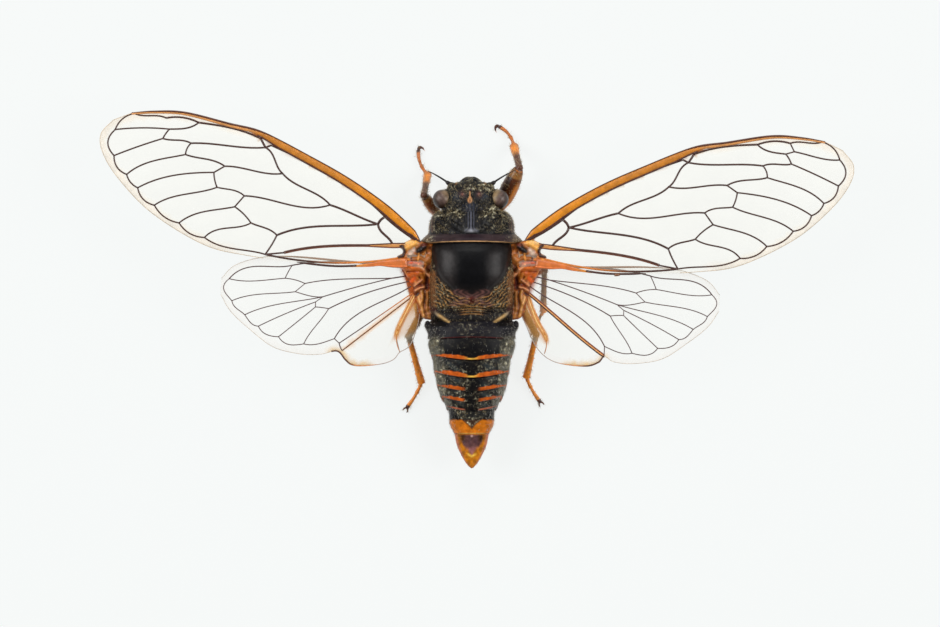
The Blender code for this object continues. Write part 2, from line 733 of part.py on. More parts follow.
def build_leg(name, model):
    side = 1 if name.endswith("right") else -1
    kind = name.split("_")[0]
    trochanter, knee, ankle, toe = (np.array((side * x, y, z)) for x, y, z in LEGS[name])
    plate, hip_x, hip_y = HIPS[kind]
    hip = np.array(under_belly(plate, side * hip_x, hip_y, HIP_GAP + HIP_RADIUS))
    parts = helpers(name + " pieces")
    leg = tube(name, ((*hip, HIP_RADIUS), (*trochanter, TROCHANTER_RADIUS)), "amber", model)
    ball("hip", hip, [HIP_RADIUS] * 3, "amber", parts, 6, 8)
    ball("trochanter", trochanter, [TROCHANTER_RADIUS] * 3, "amber", parts, 6, 8)
    thickness = FORE_FEMUR_RADIUS.get(name, FEMUR_RADIUS)
    stations = [(*trochanter, TROCHANTER_RADIUS / JOINT_SWELLING)]
    for share, thick in FEMUR_SHAPE:
        stations.append((*(trochanter + share * (knee - trochanter)), thick * thickness))
    tube("femur", [*stations, (*knee, KNEE_RADIUS)], "amber", parts)
    ball("knee", knee, [KNEE_RADIUS * JOINT_SWELLING] * 3, "amber", parts, 6, 8)
    tube("tibia", ((*knee, SHIN_RADIUS), (*ankle, SHIN_RADIUS)), "amber", parts)
    ball("ankle", ankle, [SHIN_RADIUS * JOINT_SWELLING] * 3, "amber", parts, 6, 8)
    tube("tarsus", ((*ankle, SHIN_RADIUS), (*toe, SHIN_RADIUS)), "amber", parts)
    forward = (toe - ankle) * (1, 1, 0)
    forward /= np.linalg.norm(forward)
    for turn in (-CLAW_SPREAD, CLAW_SPREAD):
        angle = math.radians(turn)
        way = (
            forward[0] * math.cos(angle) - forward[1] * math.sin(angle),
            forward[0] * math.sin(angle) + forward[1] * math.cos(angle),
            0.0,
        )
        spike("claw", toe - (0, 0, CLAW_DROP), way, CLAW_LENGTH, CLAW_RADIUS, "amber", parts)
    start, along, inward, depth = trochanter, knee - trochanter, (0.0, 0.0, -1.0), thickness
    if kind == "hindleg":
        start, along, inward, depth = knee, ankle - knee, (-side, -0.5, -0.4), SHIN_RADIUS
    for share in SPINE_PLACES[kind]:
        spike("spine", start + share * along, inward, SPINE_LENGTH + depth, SPINE_RADIUS, "amber", parts)
    apply_boolean(leg, parts, "UNION")
    flatten_sole(leg)
    smooth(leg)


def flatten_sole(obj):
    """Cuts off what reaches below the floor, so that the foot stands on a small flat."""
    shape = bmesh.new()
    shape.from_mesh(obj.data)
    cut = bmesh.ops.bisect_plane(
        shape,
        geom=shape.verts[:] + shape.edges[:] + shape.faces[:],
        dist=MERGE_DISTANCE / 4,
        plane_co=(0.0, 0.0, 0.0),
        plane_no=(0.0, 0.0, 1.0),
        clear_inner=True,
    )
    rim = [item for item in cut["geom_cut"] if isinstance(item, bmesh.types.BMEdge)]
    bmesh.ops.holes_fill(shape, edges=rim, sides=0)
    bmesh.ops.triangulate(shape, faces=shape.faces)
    bmesh.ops.recalc_face_normals(shape, faces=shape.faces)
    shape.to_mesh(obj.data)
    shape.free()


def build_legs(model):
    for name in LEGS:
        build_leg(name, model)


def wing_height(x, y, lower):
    """Middle height of a wing: it rises a little outwards, and its hind part droops."""
    rise = WING_RISE * (abs(x) - THORAX_SIDE)
    droop = WING_DROOP * max(0.0, DROOP_START - y) ** 2
    return WING_ROOT_HEIGHT + rise - droop - lower


def vein_line(joints, vein, spacing):
    """Points along a vein, which bows and sways from the straight way between two joints."""
    start, end, bow, sway = vein
    first, last = np.array(joints[start]), np.array(joints[end])
    run = last - first
    length = np.linalg.norm(run)
    across = np.array((-run[1], run[0])) / length
    t = np.linspace(0, 1, max(1, round(length / spacing)) + 1)
    rise = 4 * bow * t * (1 - t) + SWAY_PEAK * sway * t * (1 - t) * (1 - 2 * t)
    return first + np.outer(t, run) + np.outer(rise, across)


def distance_to_lines(points, lines):
    """Distance from each point to the nearest stretch of any line."""
    starts = np.vstack([line[:-1] for line in lines])
    runs = np.vstack([np.diff(line, axis=0) for line in lines])
    away = points[:, None, :] - starts[None]
    share = np.clip((away * runs).sum(axis=2) / (runs**2).sum(axis=1), 0, 1)
    return np.linalg.norm(away - share[..., None] * runs, axis=2).min(axis=1)


def inside(points, outline):
    """Which points lie inside a closed outline."""
    ends = np.roll(outline, -1, axis=0)
    x, y = points[:, :1], points[:, 1:]
    spans = (outline[:, 1] > y) != (ends[:, 1] > y)
    rise = np.where(ends[:, 1] == outline[:, 1], 1.0, ends[:, 1] - outline[:, 1])
    crossing = outline[:, 0] + (y - outline[:, 1]) * (ends[:, 0] - outline[:, 0]) / rise
    return (spans & (x < crossing)).sum(axis=1) % 2 == 1


def joint_corners(lines):
    """Points in the corners between neighbouring veins at each joint, where their ridges' feet cross."""
    ways = {}
    for line in lines:
        for place, way in ((line[0], line[1] - line[0]), (line[-1], line[-2] - line[-1])):
            ways.setdefault(tuple(place), []).append(math.atan2(way[1], way[0]))
    corners = []
    for place, angles in ways.items():
        angles.sort()
        for here, there in zip(angles, angles[1:] + [angles[0] + 2 * math.pi]):
            half = (there - here) / 2
            least = NARROW_CORNER if half < math.pi / 2 else WIDE_CORNER
            reach = VEIN_HALF_WIDTH / max(math.sin(half), least)
            corners.append(np.array(place) + reach * np.array((math.cos(here + half), math.sin(here + half))))
    return corners


def ridge_feet(lines, front_edge, outline):
    """Points on both sides of the veins where their ridges meet the membrane, clear of every other vein."""
    raised = [front_edge, *lines]
    feet = [np.array(joint_corners(lines))]
    for line in raised:
        runs = np.gradient(line, axis=0)
        across = np.stack((-runs[:, 1], runs[:, 0]), axis=1)
        across /= np.linalg.norm(across, axis=1)[:, None]
        feet += [(line + VEIN_HALF_WIDTH * across)[1:-1], (line - VEIN_HALF_WIDTH * across)[1:-1]]
    feet = np.vstack(feet)
    closed = np.vstack((outline, outline[:1]))
    clear = distance_to_lines(feet, raised) >= SIDE_CLEARANCE
    clear &= distance_to_lines(feet, [closed]) >= MARGIN_CLEARANCE
    clear &= inside(feet, outline)
    kept = []
    for point in feet[clear]:
        if all(np.linalg.norm(point - other) > FOOT_SPACING for other in kept):
            kept.append(point)
    return kept


def build_wing(name, leading, trailing, joints, veins, lower, model):
    hinge_x, hinge_y, forward = WINGS[name]
    side = 1 if name.endswith("right") else -1
    turn = math.radians(forward)
    front_edge = spline(leading, 2)
    outline = np.vstack((front_edge, spline(trailing, 2)))
    lines = [vein_line(joints, vein, VEIN_SPACING) for vein in veins]
    front_ridge = front_edge[FRONT_RIDGE_START:]
    raised = [front_ridge, *lines]
    spots = list(outline) + ridge_feet(lines, front_ridge, outline)
    chains = []
    for line in lines:
        chains += [(len(spots) + step, len(spots) + step + 1) for step in range(len(line) - 1)]
        spots += list(line)
    border = list(range(len(outline)))
    corners = [Vector(spot) for spot in spots]
    plan, _, triangles, *_ = delaunay_2d_cdt(corners, chains, [border], 1, PLAN_TOLERANCE)
    plan = np.array([tuple(point) for point in plan])
    ridge = VEIN_HEIGHT * np.clip(1 - distance_to_lines(plan, raised) / VEIN_HALF_WIDTH, 0, 1)
    top, bottom = [], []
    for (x, y), swell in zip(plan, ridge):
        out = max(hinge_x + x * math.cos(turn) - y * math.sin(turn), THORAX_SIDE + GAP)
        ahead = hinge_y + x * math.sin(turn) + y * math.cos(turn)
        middle = wing_height(out, ahead, lower)
        top.append((side * out, ahead, middle + WING_THICKNESS / 2 + swell))
        bottom.append((side * out, ahead, middle - WING_THICKNESS / 2 - swell))
    count = len(plan)
    faces = [tuple(triangle) for triangle in triangles]
    faces += [tuple(count + corner for corner in reversed(triangle)) for triangle in triangles]
    rim = {}
    for a, b, c in triangles:
        for edge in ((a, b), (b, c), (c, a)):
            if rim.pop(edge[::-1], None) is None:
                rim[edge] = edge
    for a, b in rim:
        faces += [(b, a, count + a), (b, count + a, count + b)]
    smooth(solid(name, top + bottom, faces, "membrane", model))


def build_wings(model):
    for name in WINGS:
        if name.startswith("fore"):
            veins = FOREWING_VEINS + FOREWING_ONE_SIDE[name.split("_")[1]]
            shape = (FOREWING_LEADING_EDGE, FOREWING_TRAILING_EDGE, FOREWING_JOINTS, veins, 0.0)
        else:
            veins = HINDWING_VEINS
            shape = (HINDWING_LEADING_EDGE, HINDWING_TRAILING_EDGE, HINDWING_JOINTS, veins, HINDWING_STEP)
        build_wing(name, *shape, model)


def main():
    for obj in list(bpy.data.objects):
        bpy.data.objects.remove(obj, do_unlink=True)
    model = bpy.data.collections.new("new forest cicada")
    bpy.context.scene.collection.children.link(model)
    build_head(model)
    build_eyes(model)
    build_feelers(model)
    build_pronotum(model)
    build_mesothorax(model)
    smooth(loft("metathorax", [ring(row) for row in METATHORAX], "black", model))
    build_abdomen(model)
    build_legs(model)
    build_wings(model)


main()
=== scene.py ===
"""Looks of the New Forest cicada: fine plates, veined clear wings, legs, hairs, floor, lights and camera.

The frame is the part's own: +X to the insect's right, +Y from tail to head, +Z up, the floor at zero.
Sizes below are in millimetres, and become metres where meshes are made.
"""

import math

import bmesh
import bpy
import numpy as np
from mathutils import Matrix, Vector
from mathutils.geometry import delaunay_2d_cdt


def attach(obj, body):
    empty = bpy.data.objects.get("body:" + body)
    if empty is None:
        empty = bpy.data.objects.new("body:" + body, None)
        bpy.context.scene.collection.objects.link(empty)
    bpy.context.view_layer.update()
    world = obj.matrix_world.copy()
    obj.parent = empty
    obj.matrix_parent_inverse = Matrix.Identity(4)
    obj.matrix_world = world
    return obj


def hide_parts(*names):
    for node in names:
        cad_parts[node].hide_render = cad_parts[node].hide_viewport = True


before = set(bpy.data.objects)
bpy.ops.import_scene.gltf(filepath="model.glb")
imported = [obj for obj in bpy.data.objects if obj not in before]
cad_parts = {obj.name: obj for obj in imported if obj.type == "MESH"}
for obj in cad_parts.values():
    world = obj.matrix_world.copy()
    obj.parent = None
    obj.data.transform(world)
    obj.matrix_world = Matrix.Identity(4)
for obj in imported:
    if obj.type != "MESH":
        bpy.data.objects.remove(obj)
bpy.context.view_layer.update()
MM = 0.001

# Body: the same named sizes as the solids have
HEAD_SHIFT = -0.07
HEAD_REAR = 5.50
PRONOTUM_FRONT = 5.20
PRONOTUM_REAR = 3.24
MESOTHORAX_FRONT = 2.94
MESOTHORAX_REAR = -1.22
METATHORAX_REAR = -2.02
ABDOMEN_FRONT = -2.32
TIP_REAR = -12.25
# How square the cross-sections of the body are; 2 makes an ellipse
BACK_FULLNESS = 2.4
BELLY_FULLNESS = 2.2
THORAX_SIDE = 2.85

EYE_RADIUS = 0.66
EYE_PLACE = (1.93, 6.18, 3.95)
OCELLI = ((-0.56, 6.50, 4.80), (0.56, 6.50, 4.80), (0.0, 6.80, 4.70))

# Each row: Y, half width, top, widest height, belly
CRANIUM = (
    (5.22, 1.92, 5.04, 3.7, 2.1),
    (HEAD_REAR, 2.00, 5.08, 3.7, 2.0),
    (6.05, 1.80, 5.02, 3.7, 1.9),
    (6.60, 1.68, 4.80, 3.6, 2.0),
    (6.95, 1.62, 4.62, 3.5, 2.2),
    (7.22, 1.30, 4.38, 3.45, 2.5),
    (7.38, 0.90, 4.15, 3.4, 2.8),
)
PRONOTUM = (
    (5.36, 2.30, 4.90, 3.7, 2.1),
    (PRONOTUM_FRONT, 2.50, 5.18, 3.7, 1.9),
    (4.95, 2.73, 5.42, 3.8, 1.6),
    (4.40, 2.90, 5.62, 3.8, 1.35),
    (3.90, 2.92, 5.78, 3.9, 1.25),
    (3.70, 3.10, 5.84, 3.9, 1.25),
    (3.52, 3.30, 5.98, 4.0, 1.25),
    (3.36, 3.45, 6.06, 4.0, 1.25),
    (PRONOTUM_REAR, 3.48, 6.06, 4.0, 1.3),
    (3.12, 2.95, 5.70, 4.0, 1.5),
)
THORAX = (
    (3.30, 2.60, 5.75, 4.1, 1.45),
    (MESOTHORAX_FRONT, 2.78, 5.98, 4.1, 1.25),
    (2.55, THORAX_SIDE, 6.16, 4.1, 1.2),
    (1.80, THORAX_SIDE, 6.30, 4.1, 1.15),
    (1.00, THORAX_SIDE, 6.30, 4.1, 1.15),
    (0.30, THORAX_SIDE, 6.14, 4.1, 1.15),
    (-0.10, THORAX_SIDE, 5.98, 4.1, 1.15),
    (-0.70, THORAX_SIDE, 5.80, 4.0, 1.15),
    (MESOTHORAX_REAR, 2.84, 5.56, 3.9, 1.2),
    (-1.60, 2.80, 5.38, 3.8, 1.2),
    (METATHORAX_REAR, 2.80, 5.38, 3.7, 1.25),
    (-2.50, 2.70, 5.20, 3.6, 1.4),
)
ABDOMEN_SHAPE = (
    (-2.10, 2.90, 5.38, 3.5, 1.3),
    (ABDOMEN_FRONT, 3.06, 5.50, 3.5, 1.25),
    (-2.55, 3.19, 5.62, 3.5, 1.2),
    (-2.95, 2.99, 5.72, 3.5, 1.2),
    (-3.80, 3.00, 5.72, 3.45, 1.15),
    (-5.16, 2.70, 5.50, 3.4, 1.2),
    (-6.45, 2.47, 5.20, 3.3, 1.3),
    (-7.34, 2.22, 4.92, 3.2, 1.4),
    (-8.02, 1.83, 4.66, 3.1, 1.5),
    (-8.50, 1.62, 4.46, 3.0, 1.55),
    (-9.25, 1.50, 4.10, 2.9, 1.6),
    (-9.86, 1.20, 3.78, 2.8, 1.65),
    (-10.62, 1.03, 3.42, 2.7, 1.7),
    (-11.30, 0.74, 3.10, 2.55, 1.8),
    (-11.85, 0.42, 2.82, 2.45, 1.95),
    (-12.15, 0.17, 2.58, 2.40, 2.15),
    (TIP_REAR, 0.03, 2.46, 2.4, 2.32),
)
# Rear edges of the rings of the abdomen, with the length of the orange band in front of each
ABDOMEN_RINGS = (
    (-3.24, 0.0), (-4.80, 0.27), (-6.02, 0.31), (-6.95, 0.24), (-7.70, 0.22), (-8.29, 0.09), (-9.86, 0.88),
)
# From this ring on the orange bands are parted in the middle, and the band of the tip is whole again
FIRST_PARTED_RING = 3
TIP_RING = 6

# Legs: each hip, then trochanter, knee, ankle and toe, as X, Y, Z on the right side
HIPS = {"foreleg": (1.85, 4.75, 1.45), "midleg": (1.90, 1.00, 1.25), "hindleg": (1.90, -1.05, 1.25)}
LEGS = {
    "foreleg_right": ((1.88, 5.50, 1.15), (3.27, 8.36, 2.55), (2.91, 9.86, 0.50), (1.90, 11.22, 0.16)),
    "foreleg_left": ((2.30, 5.15, 1.10), (3.27, 6.46, 2.75), (3.03, 7.92, 0.50), (3.67, 9.60, 0.16)),
    "midleg_right": ((2.80, 1.10, 0.95), (4.98, 1.30, 2.25), (4.92, -1.50, 0.50), (4.30, -2.95, 0.16)),
    "midleg_left": ((2.80, 1.10, 0.95), (4.55, 1.40, 2.25), (3.95, -0.85, 0.50), (3.80, -2.20, 0.16)),
    "hindleg_right": ((3.30, -0.95, 0.95), (4.42, -3.08, 2.10), (3.76, -6.02, 0.50), (4.66, -7.66, 0.16)),
    "hindleg_left": ((3.02, -0.88, 1.05), (4.32, -3.20, 2.10), (3.45, -6.40, 0.50), (4.42, -8.06, 0.16)),
}

# Wings: how far they rise per mm outwards, how they droop behind a Y, and how far the hindwings lie lower
WING_ROOT_HEIGHT = 4.75
WING_RISE = 0.035
WING_DROOP = 0.012
DROOP_START = 2.0
HINDWING_STEP = 1.08
# Makes the highest point of a vein's sway as high as the number in its row says
SWAY_PEAK = 10.39
# From point to point along a vein
VEIN_SPACING = 0.16
MEMBRANE_THICKNESS = 0.03
MEMBRANE_GRID = 0.32
# A finer grid near the body, where the colours change within short ways
ROOT_GRID = 0.10
# The most a vein rises over the membrane
VEIN_HEIGHT = 0.11
VEIN_SIDES = 10
# X and Y of each wing's hinge, and the degrees that it is turned forward
WINGS = {
    "forewing_right": (3.57, 3.38, 12.5),
    "forewing_left": (3.44, 3.31, 18.3),
    "hindwing_right": (3.84, 1.06, -25.0),
    "hindwing_left": (3.92, 1.06, -20.0),
}
FOREWING_LEADING_EDGE = (
    (-0.52, -0.45), (0.06, -0.10), (0.42, 0.30), (0.90, 0.64), (3.00, 1.60), (6.00, 2.50), (9.00, 3.10),
    (12.50, 3.64), (15.00, 3.48), (18.00, 3.26), (20.00, 2.70), (21.50, 2.10),
)
FOREWING_TRAILING_EDGE = (
    (22.55, 1.25), (23.05, 0.05), (22.50, -1.15), (20.90, -2.50), (18.00, -4.00), (14.00, -4.92),
    (11.00, -4.70), (8.00, -4.15), (5.00, -3.50), (2.50, -2.55), (0.90, -2.00), (-0.70, -1.75),
)
FOREWING_JOINTS = {
    "root": (0.05, -0.12), "arc_front": (2.85, 0.80), "arc": (3.17, 0.17), "arc_rear": (1.83, -0.80),
    "node": (11.75, 3.00), "node_low": (12.10, 2.72), "node_out": (12.60, 3.20), "m_fork": (6.68, 0.38),
    "m_front": (10.43, 1.40), "cu_fork": (9.48, -2.72), "anal_root": (0.90, -0.60),
    "anal_end": (8.65, -3.70), "hind_root": (0.60, -1.30), "tornus": (9.83, -4.21), "p1": (16.95, 2.90),
    "p2": (19.15, 2.50), "p3": (18.70, 1.85), "p4": (19.30, 1.88), "p5": (18.93, 1.10),
    "p6": (17.00, 1.40), "p7": (17.12, 0.55), "p8": (14.33, 0.63), "p9": (14.90, 0.00),
    "p10": (14.38, -0.90), "p11": (12.43, -0.87), "p12": (12.82, -1.78), "p13": (11.42, -2.48),
    "e0": (21.30, 2.12), "e1": (22.20, 0.66), "e2": (21.72, -1.05), "e3": (20.50, -2.00),
    "e4": (19.50, -2.63), "e5": (18.05, -3.40), "e6": (16.07, -4.02), "e7": (14.12, -4.42),
}
# Each vein: from, to, how far its middle bows towards the leading edge, its sway, half its width
FOREWING_VEINS = (
    ("root", "arc_front", -0.08, 0.0, 0.10), ("arc_front", "node", 0.44, 0.05, 0.085),
    ("node", "node_low", 0.0, 0.0, 0.07), ("node_low", "node_out", 0.0, 0.0, 0.08),
    ("node_out", "p1", 0.19, 0.02, 0.075), ("p1", "p2", 0.19, 0.0, 0.07), ("p2", "e0", 0.0, 0.07, 0.06),
    ("arc_front", "arc", 0.07, 0.0, 0.09), ("arc", "arc_rear", 0.07, 0.07, 0.085),
    ("arc", "m_fork", 0.0, -0.03, 0.075), ("m_fork", "m_front", 0.0, 0.11, 0.065),
    ("m_front", "node_low", 0.07, -0.09, 0.065), ("arc", "cu_fork", 0.25, -0.11, 0.075),
    ("cu_fork", "tornus", -0.04, 0.0, 0.06), ("anal_root", "anal_end", 0.23, -0.07, 0.085),
    ("arc_rear", "anal_root", 0.0, 0.0, 0.13), ("anal_end", "tornus", 0.0, 0.0, 0.06),
    ("anal_root", "hind_root", 0.0, 0.0, 0.12), ("hind_root", "tornus", -0.51, 0.0, 0.07),
    ("node_low", "p6", -0.03, -0.06, 0.065), ("m_front", "p8", -0.06, -0.08, 0.06),
    ("m_fork", "p11", -0.26, -0.15, 0.06), ("cu_fork", "p13", 0.10, 0.04, 0.06),
    ("p1", "p3", -0.18, -0.03, 0.06), ("p3", "p5", 0.03, 0.0, 0.055), ("p6", "p5", 0.05, 0.05, 0.06),
    ("p6", "p7", 0.09, 0.0, 0.055), ("p8", "p7", 0.10, 0.06, 0.06), ("p8", "p9", 0.0, 0.0, 0.055),
    ("p9", "p10", 0.05, 0.0, 0.055), ("p11", "p10", 0.13, 0.04, 0.055), ("p11", "p12", 0.0, 0.0, 0.055),
    ("p13", "p12", 0.08, 0.0, 0.055), ("p5", "e2", 0.04, 0.0, 0.055), ("p7", "e3", 0.28, -0.06, 0.055),
    ("p9", "e4", 0.34, -0.03, 0.055), ("p10", "e5", 0.14, -0.09, 0.055),
    ("p12", "e6", 0.25, -0.07, 0.055), ("p13", "e7", 0.15, -0.13, 0.055), ("e0", "e1", 0.24, 0.0, 0.055),
    ("e1", "e2", 0.46, 0.0, 0.055), ("e2", "e3", 0.27, 0.0, 0.055), ("e3", "e4", 0.14, 0.0, 0.055),
    ("e4", "e5", 0.27, 0.0, 0.055), ("e5", "e6", 0.25, 0.0, 0.055), ("e6", "e7", 0.26, 0.0, 0.055),
    ("e7", "tornus", 0.20, 0.09, 0.055),
)
FOREWING_ONE_SIDE = {
    "right": (("p2", "p4", 0.0, 0.0, 0.05), ("p3", "p4", 0.0, 0.0, 0.05), ("p4", "e1", -0.11, 0.04, 0.055)),
    "left": (("p3", "e1", 0.10, 0.0, 0.055),),
}
HINDWING_LEADING_EDGE = (
    (-0.95, 0.45), (0.20, 0.75), (2.00, 1.55), (4.00, 2.45), (7.00, 3.85), (9.30, 4.65), (11.30, 4.78),
    (12.50, 4.25),
)
HINDWING_TRAILING_EDGE = (
    (12.93, 3.20), (12.70, 1.90), (11.90, 0.30), (10.80, -1.40), (9.20, -2.50), (7.90, -2.98),
)
# The lobe behind the hindwing's fold lies further open on the left side
LOBE_EDGE = {
    "right": (
        (7.15, -2.92), (6.95, -3.45), (6.20, -4.08), (4.20, -4.70), (2.70, -4.35), (1.30, -3.20),
        (0.45, -2.45),
    ),
    "left": (
        (6.80, -3.15), (6.47, -3.89), (6.19, -4.35), (5.50, -4.70), (4.20, -5.04),
        (3.33, -5.03), (2.78, -4.72), (1.90, -4.48), (0.92, -3.31), (0.45, -2.45),
    ),
}
LOBE_CREASE = {
    "right": ((0.62, -1.40), (1.83, -2.61), (2.81, -3.29), (3.20, -3.86), (3.33, -4.47)),
    "left": ((0.47, -1.39), (1.78, -2.59), (2.43, -3.27), (2.64, -3.70), (2.78, -4.72)),
}
LOBE_JOINTS = {
    "right": {
        "fold_end": (7.10, -2.88), "b7": (6.85, -2.27),
        "lobe_root": (0.62, -1.40), "lobe_mid": (2.81, -3.29), "lobe_end": (3.33, -4.47),
    },
    "left": {
        "fold_end": (6.44, -3.23), "b7": (6.66, -2.28), "claval_end": (6.45, -2.68),
        "brown_root": (0.85, -1.45), "lobe_root": (0.47, -1.39), "lobe_mid": (2.43, -3.27),
        "lobe_end": (2.76, -4.62),
    },
}
LOBE_VEINS = {
    "right": (("fold_root", "fold_end", -0.05, 0.03, 0.075), ("b7", "fold_end", 0.0, 0.0, 0.05)),
    "left": (
        ("fold_root", "claval_end", -0.02, 0.0, 0.055),
        ("brown_root", "fold_end", 0.0, 0.0, 0.07),
        ("b7", "claval_end", 0.0, 0.0, 0.05),
        ("claval_end", "fold_end", 0.03, 0.0, 0.06),
    ),
}
HINDWING_JOINTS = {
    "front_root": (0.30, 0.75), "m_root": (0.50, 0.05), "m_fork": (1.50, 0.25), "cu_root": (0.50, -0.35),
    "anal_root": (0.50, -0.70), "fold_root": (0.50, -1.15), "k1": (7.65, 3.42), "k2": (8.40, 2.75),
    "k3": (7.25, 1.95), "k4": (8.07, 1.65), "k5": (6.40, 0.68), "k6": (7.00, 0.52), "k7": (7.13, 0.20),
    "k8": (6.32, -0.22), "b1": (12.00, 4.03), "b2": (12.35, 2.55), "b3": (11.85, 1.35),
    "b4": (11.25, 0.30), "b5": (10.20, -0.85), "b6": (8.75, -1.90),
}
HINDWING_VEINS = (
    ("front_root", "k1", 0.22, -0.06, 0.07), ("m_root", "m_fork", 0.0, 0.0, 0.07),
    ("m_fork", "k3", 0.13, -0.04, 0.055), ("m_fork", "k5", 0.05, 0.0, 0.055),
    ("cu_root", "k8", 0.19, -0.01, 0.06), ("anal_root", "b7", 0.41, -0.15, 0.06),
    ("lobe_root", "lobe_mid", 0.06, 0.0, 0.06), ("lobe_mid", "lobe_end", 0.14, 0.0, 0.04),
    ("k1", "k2", 0.02, 0.0, 0.05), ("k3", "k2", 0.07, 0.0, 0.05), ("k3", "k4", 0.0, 0.0, 0.045),
    ("k5", "k4", -0.10, -0.02, 0.05), ("k5", "k6", 0.0, 0.0, 0.045), ("k6", "k7", 0.0, 0.0, 0.045),
    ("k8", "k7", 0.02, 0.0, 0.05), ("k1", "b1", 0.40, -0.17, 0.06), ("k2", "b1", -0.16, 0.04, 0.05),
    ("k4", "b2", 0.16, -0.06, 0.05), ("k5", "b3", 0.17, -0.06, 0.05), ("k6", "b4", 0.06, 0.0, 0.05),
    ("k7", "b5", -0.01, 0.0, 0.05), ("k8", "b6", 0.04, -0.04, 0.05), ("b1", "b2", 0.44, 0.08, 0.05),
    ("b2", "b3", 0.11, 0.04, 0.05), ("b3", "b4", 0.15, -0.03, 0.05), ("b4", "b5", 0.24, 0.02, 0.05),
    ("b5", "b6", 0.31, 0.04, 0.05), ("b6", "b7", 0.16, 0.03, 0.05),
)

# Veins that start amber, each with the places along the wing where it has turned dark and where it begins to
AMBER_VEINS = {
    "hind_root": (7.0, 3.8), "lobe_root": (9.0, 8.0), "lobe_mid": (9.0, 8.0), "fold_root": (4.5, 1.5),
}
# Veins that show as two brown lines with a pale filling: places along the wing, half widths there, and the
# colours of the filling and of the two lines
DOUBLE_VEINS = {
    ("anal_root", "anal_end"): (
        (0.9, 1.7, 2.5, 3.4), (0.13, 0.14, 0.10, 0.05), (196, 134, 72), (84, 46, 28), (112, 58, 28),
    ),
    ("fold_root", "fold_end"): (
        (0.5, 3.0, 6.9, 7.1), (0.07, 0.08, 0.08, 0.05), (226, 160, 96), (120, 56, 30), (58, 30, 24),
    ),
}
HIDDEN_VEINS = (("arc_rear", "anal_root"), ("anal_root", "hind_root"))
# A small thickening on the right forewing's hind margin
MARGIN_KNOB = ((5.50, -3.66), (5.69, -3.70), (5.88, -3.70))
# The first points of the forewing's front rib, and the red fold behind its root, with the fold's half width
FOREWING_COSTA_ROOT = ((0.10, 0.00), (0.42, 0.32), (0.90, 0.66))
FOLD_STRIP = (
    (0.45, -1.72, 0.36), (1.41, -2.08, 0.28), (2.18, -2.33, 0.18), (2.82, -2.65, 0.13),
    (4.05, -3.17, 0.05),
)
# Streaks on the fold: place across and width as shares of its half width, and colour
FOLD_STREAKS = (
    (0.0, 1.0, (196, 104, 44)), (0.92, 0.10, (96, 44, 20)), (0.62, 0.30, (212, 76, 30)),
    (0.22, 0.16, (222, 146, 74)), (-0.20, 0.18, (160, 66, 26)), (-0.62, 0.22, (226, 118, 56)),
)

# Camera and picture: 940 pixels across, the photograph's own frame
PICTURE_WIDTH = 940
MM_PER_PIXEL = 0.06826
VIEW_CENTRE = (-0.116, -1.638)
CAMERA_HEIGHT = 600.0
# The height at which a pixel has the stated size
SHARP_HEIGHT = 4.9
SENSOR_WIDTH = 36.0


def tone(red, green, blue):
    """A colour as a picture shows it, 0 to 255, made linear."""
    values = np.array((red, green, blue)) / 255
    return np.where(values <= 0.04045, values / 12.92, ((values + 0.055) / 1.055) ** 2.4)


def step(value, low, high):
    """0 below low, 1 above high, and smooth between; low may be the greater."""
    share = np.clip((value - low) / (high - low), 0, 1)
    return share * share * (3 - 2 * share)


def band(value, low, high, soft):
    return step(value, low - soft, low + soft) * (1 - step(value, high - soft, high + soft))


class Coat:
    """Colours of a piece's places, laid over one another, each from 0 to 255 or a whole coat."""

    def __init__(self, places, shade):
        self.colours = np.tile(tone(*shade), (len(places), 1))

    def lay(self, shade, share):
        over = shade.colours if isinstance(shade, Coat) else tone(*shade)
        share = np.asarray(share)[..., None]
        self.colours = self.colours * (1 - share) + over * share
        return self


def spline(stations, samples):
    """A smooth curve through the stations, with each stretch cut into the given number of steps."""
    rows = np.array(stations, float)
    padded = np.vstack((2 * rows[0] - rows[1], rows, 2 * rows[-1] - rows[-2]))
    made = []
    for index in range(len(rows) - 1):
        before, here, there, after = padded[index : index + 4]
        for t in np.arange(samples) / samples:
            linear = 2 * here + (there - before) * t
            curved = (2 * before - 5 * here + 4 * there - after) * t**2
            made.append(0.5 * (linear + curved + (3 * here - before - 3 * there + after) * t**3))
    made.append(rows[-1])
    return np.array(made)


def closed_line(outline):
    return np.vstack((outline, outline[:1]))


def bell(value, width):
    """1 where a value is zero, falling to 0 on both sides over its width."""
    return np.exp(-((value / width) ** 2))


def unit(vectors):
    return vectors / np.maximum(np.linalg.norm(vectors, axis=-1, keepdims=True), 1e-9)


def distance_to_lines(points, lines):
    """Distance from each point to the nearest stretch of any line."""
    starts = np.vstack([line[:-1] for line in lines])
    runs = np.vstack([np.diff(line, axis=0) for line in lines])
    best = np.empty(len(points))
    chunk = 2000
    for first in range(0, len(points), chunk):
        away = points[first : first + chunk, None, :] - starts[None]
        share = np.clip((away * runs).sum(axis=2) / (runs**2).sum(axis=1), 0, 1)
        best[first : first + chunk] = np.linalg.norm(away - share[..., None] * runs, axis=2).min(axis=1)
    return best


def linked(name, data):
    """An object of a mesh, light or camera, in the scene."""
    obj = bpy.data.objects.new(name, data)
    bpy.context.scene.collection.objects.link(obj)
    return obj


def mesh_object(name, points, faces, material):
    """A smooth-shaded object from points in millimetres."""
    mesh = bpy.data.meshes.new(name)
    mesh.from_pydata((np.asarray(points, float) * MM).tolist(), [], faces)
    mesh.polygons.foreach_set("use_smooth", [True] * len(mesh.polygons))
    mesh.materials.append(material)
    return linked(name, mesh)


